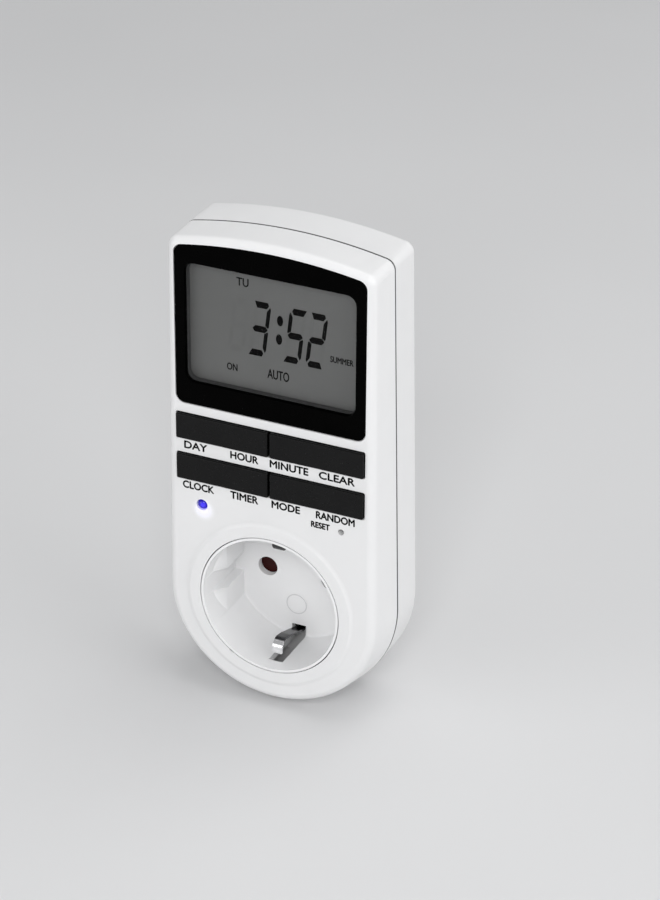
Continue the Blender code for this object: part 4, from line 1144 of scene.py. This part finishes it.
def make_lights():
    """Four soft lights and a dim grey surround."""
    make_light("key_light", (0.45, -1.15, 0.85), 0.45, 6.7)
    make_light("side_light", (1.20, -0.30, 0.45), 0.9, 5.4)
    make_light("fill_light", (-0.80, -0.90, 0.05), 0.9, 5.2)
    make_light("top_light", (0.25, 0.20, 1.25), 0.9, 5.8)
    world = bpy.data.worlds.new("studio")
    world.use_nodes = True
    background = world.node_tree.nodes["Background"]
    background.inputs["Color"].default_value = (0.86, 0.87, 0.88, 1.0)
    background.inputs["Strength"].default_value = 0.42
    bpy.context.scene.world = world


def make_camera():
    """A long lens above and to the right of the front, turned slightly about its own axis."""
    azimuth, elevation, roll = (math.radians(angle) for angle in (24.70, 28.46, 0.39))
    across = Vector((math.cos(azimuth), math.sin(azimuth), 0))
    away = Vector((-math.sin(azimuth), math.cos(azimuth), 0))
    forward = away * math.cos(elevation) - Vector((0, 0, math.sin(elevation)))
    upward = across.cross(forward)
    right = across * math.cos(roll) + upward * math.sin(roll)
    up = upward * math.cos(roll) - across * math.sin(roll)
    lens = bpy.data.cameras.new("camera")
    lens.sensor_width = 36.0
    lens.lens = 128.3
    lens.clip_start = 0.05
    lens.clip_end = 20.0
    camera = bpy.data.objects.new("camera", lens)
    aim = place(0, 0, 0) + right * 0.01617 + up * 0.04179
    turn = Matrix((right, up, -forward)).transposed().to_4x4()
    camera.matrix_world = Matrix.Translation(aim - forward * 0.866) @ turn
    bpy.context.scene.collection.objects.link(camera)
    bpy.context.scene.camera = camera


# ---------------------------------------------------------------- all pieces


# The pieces that stay as the CAD has them, by finish: name, two tones, roughness, specular level.
PLASTIC_FINISHES = {
    ("lcd_holder",): ("holder_grey", (0.050, 0.050, 0.051), (0.062, 0.062, 0.063), 0.6, 0.2),
    ("zebra_strip",): ("zebra_rubber", (0.03, 0.03, 0.032), (0.05, 0.05, 0.052), 0.7, 0.5),
    ("keypad_mat",): ("silicone", (0.28, 0.29, 0.31), (0.34, 0.35, 0.37), 0.62, 0.5),
    ("reset_switch", "board_link"): ("dark_plastic", (0.018,) * 3, (0.030, 0.030, 0.031), 0.5, 0.5),
    ("reset_plunger",): ("plunger_ivory", (0.30, 0.285, 0.23), (0.36, 0.34, 0.28), 0.45, 0.5),
    ("relay",): ("relay_blue", (0.015, 0.08, 0.38), (0.03, 0.12, 0.48), 0.4, 0.5),
    ("dropper_capacitor",): ("film_yellow", (0.72, 0.55, 0.06), (0.82, 0.64, 0.10), 0.4, 0.5),
    ("smoothing_capacitor",): ("can_sleeve", (0.02, 0.03, 0.08), (0.04, 0.05, 0.12), 0.33, 0.5),
    ("varistor",): ("varistor_blue", (0.02, 0.10, 0.34), (0.04, 0.15, 0.44), 0.38, 0.5),
    ("fusible_resistor",): ("resistor_green", (0.08, 0.26, 0.18), (0.13, 0.34, 0.25), 0.5, 0.5),
    ("shutter",): ("shutter_brown", (0.030, 0.0030, 0.0025), (0.042, 0.0045, 0.0036), 0.42, 0.15),
    ("live_wire",): ("wire_brown", (0.16, 0.06, 0.03), (0.24, 0.10, 0.05), 0.42, 0.5),
    ("neutral_wire",): ("wire_blue", (0.02, 0.10, 0.42), (0.04, 0.15, 0.54), 0.42, 0.5),
}
BOARD_SCREWS = [f"board_screw_{number}" for number in (1, 2, 3)]
SHELL_SCREWS = [f"case_screw_{number}" for number in (1, 2, 3, 4)]
METAL_FINISHES = {
    ("clock_crystal", "backup_cell"): ("bright_steel", (0.60, 0.60, 0.62), (0.72, 0.72, 0.74), 0.26),
    (*BOARD_SCREWS, *SHELL_SCREWS): ("screw_steel", (0.42, 0.41, 0.39), (0.60, 0.60, 0.61), 0.36),
    ("live_contact", "neutral_contact"): ("spring_brass", (0.70, 0.52, 0.22), (0.84, 0.66, 0.34), 0.28),
}


def dress_nodes(nodes, material):
    """Gives CAD nodes that stay in view their finished material."""
    for node in nodes:
        node_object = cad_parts[node]
        node_object.data.materials.clear()
        node_object.data.materials.append(material)


def display_glass():
    made = Shader("display_grey", 0.35)
    made.tones(made.noise(0.03, 1), (0.136, 0.138, 0.136), (0.146, 0.148, 0.146))
    made.gloss(made.noise(0.01), 0.30, 0.38)
    made.bump(made.noise(0.0002, 2), 0.000002)
    made.setting(Specular_IOR_Level=0.2)
    return made.material


def make_inside():
    """Finishes of the pieces that stay as the CAD has them, nearly all of them inside the case."""
    for nodes, finish in PLASTIC_FINISHES.items():
        dress_nodes(nodes, plain_plastic(*finish))
    for nodes, finish in METAL_FINISHES.items():
        dress_nodes(nodes, metal(*finish))
    epoxy = plain_plastic("epoxy", (0.010,) * 3, (0.018,) * 3, 0.32, grain=0.001, relief=0.00002)
    dress_nodes(("controller_blob", "bridge_rectifier"), epoxy)
    dress_nodes(("lcd_panel",), display_glass())
    green = board("green_board", (0.010, 0.10, 0.045), (0.025, 0.19, 0.09), 0.0008)
    dress_nodes(("control_board",), green)
    tan = board("tan_board", (0.36, 0.24, 0.09), (0.46, 0.32, 0.14), 0.0016)
    dress_nodes(("power_board",), tan)


def make_mouldings():
    """The two white halves of the case, and the socket's recess."""
    make_front(face_plastic_with_painted_glow(middle("indicator_led")))
    make_rear(paint_seam_shadow(white_plastic("white_rear", 0.81)).material)
    # The socket's white, 0.885, is lighter than the face's 0.82: painted light that brightens the recess.
    make_socket(paint_ring_shade(white_plastic("white_socket", 0.885)).material)


def make_front_fittings():
    """The window, what the display shows, the words on the face, the keys and the lamp."""
    black = plain_plastic("window_black", (0.0004,) * 3, (0.0008,) * 3, 0.06, 0.02, 0.002, 0.000001)
    make_window(black, clear_plastic())
    ink = plain_plastic("label_ink", (0.0015,) * 3, (0.0030,) * 3, 0.6, 0.05, 0.0002, 0.000003)
    faint = plain_plastic("display_unlit", (0.128, 0.130, 0.128), (0.136, 0.138, 0.136), 0.4, 0.2)
    make_display_figures(ink, faint)
    make_labels(ink)
    dark, light = (0.0030, 0.0030, 0.0032), (0.0044, 0.0044, 0.0046)
    rubber = plain_plastic("key_black", dark, light, 0.28, 0.17, 0.00022, 0.000008)
    for node, body in KEYS.items():
        make_key(node, body, rubber)
    make_lamp(lamp_blue(middle("indicator_led")))


def make_metalwork():
    """The earth bracket, the plug pins and the shutter's spring."""
    # The chrome's near-black tones are painted shade, and its bright parts are painted highlight.
    chrome = plating("earth_chrome", (0.055, 0.055, 0.058), (0.085, 0.085, 0.088), 0.14)
    make_earth_spring(paint_plating_highlights(chrome).material)
    nickel = metal("pin_nickel", (0.60, 0.59, 0.56), (0.72, 0.71, 0.68), 0.22)
    for node in ("live_pin", "neutral_pin"):
        make_plug_pin(node, nickel)
    make_shutter_spring(metal("spring_steel", (0.48, 0.48, 0.50), (0.60, 0.60, 0.62), 0.3))


make_inside()
make_mouldings()
make_front_fittings()
make_metalwork()
make_floor()
make_lights()
make_camera()
bpy.context.scene.view_settings.view_transform = "Standard"
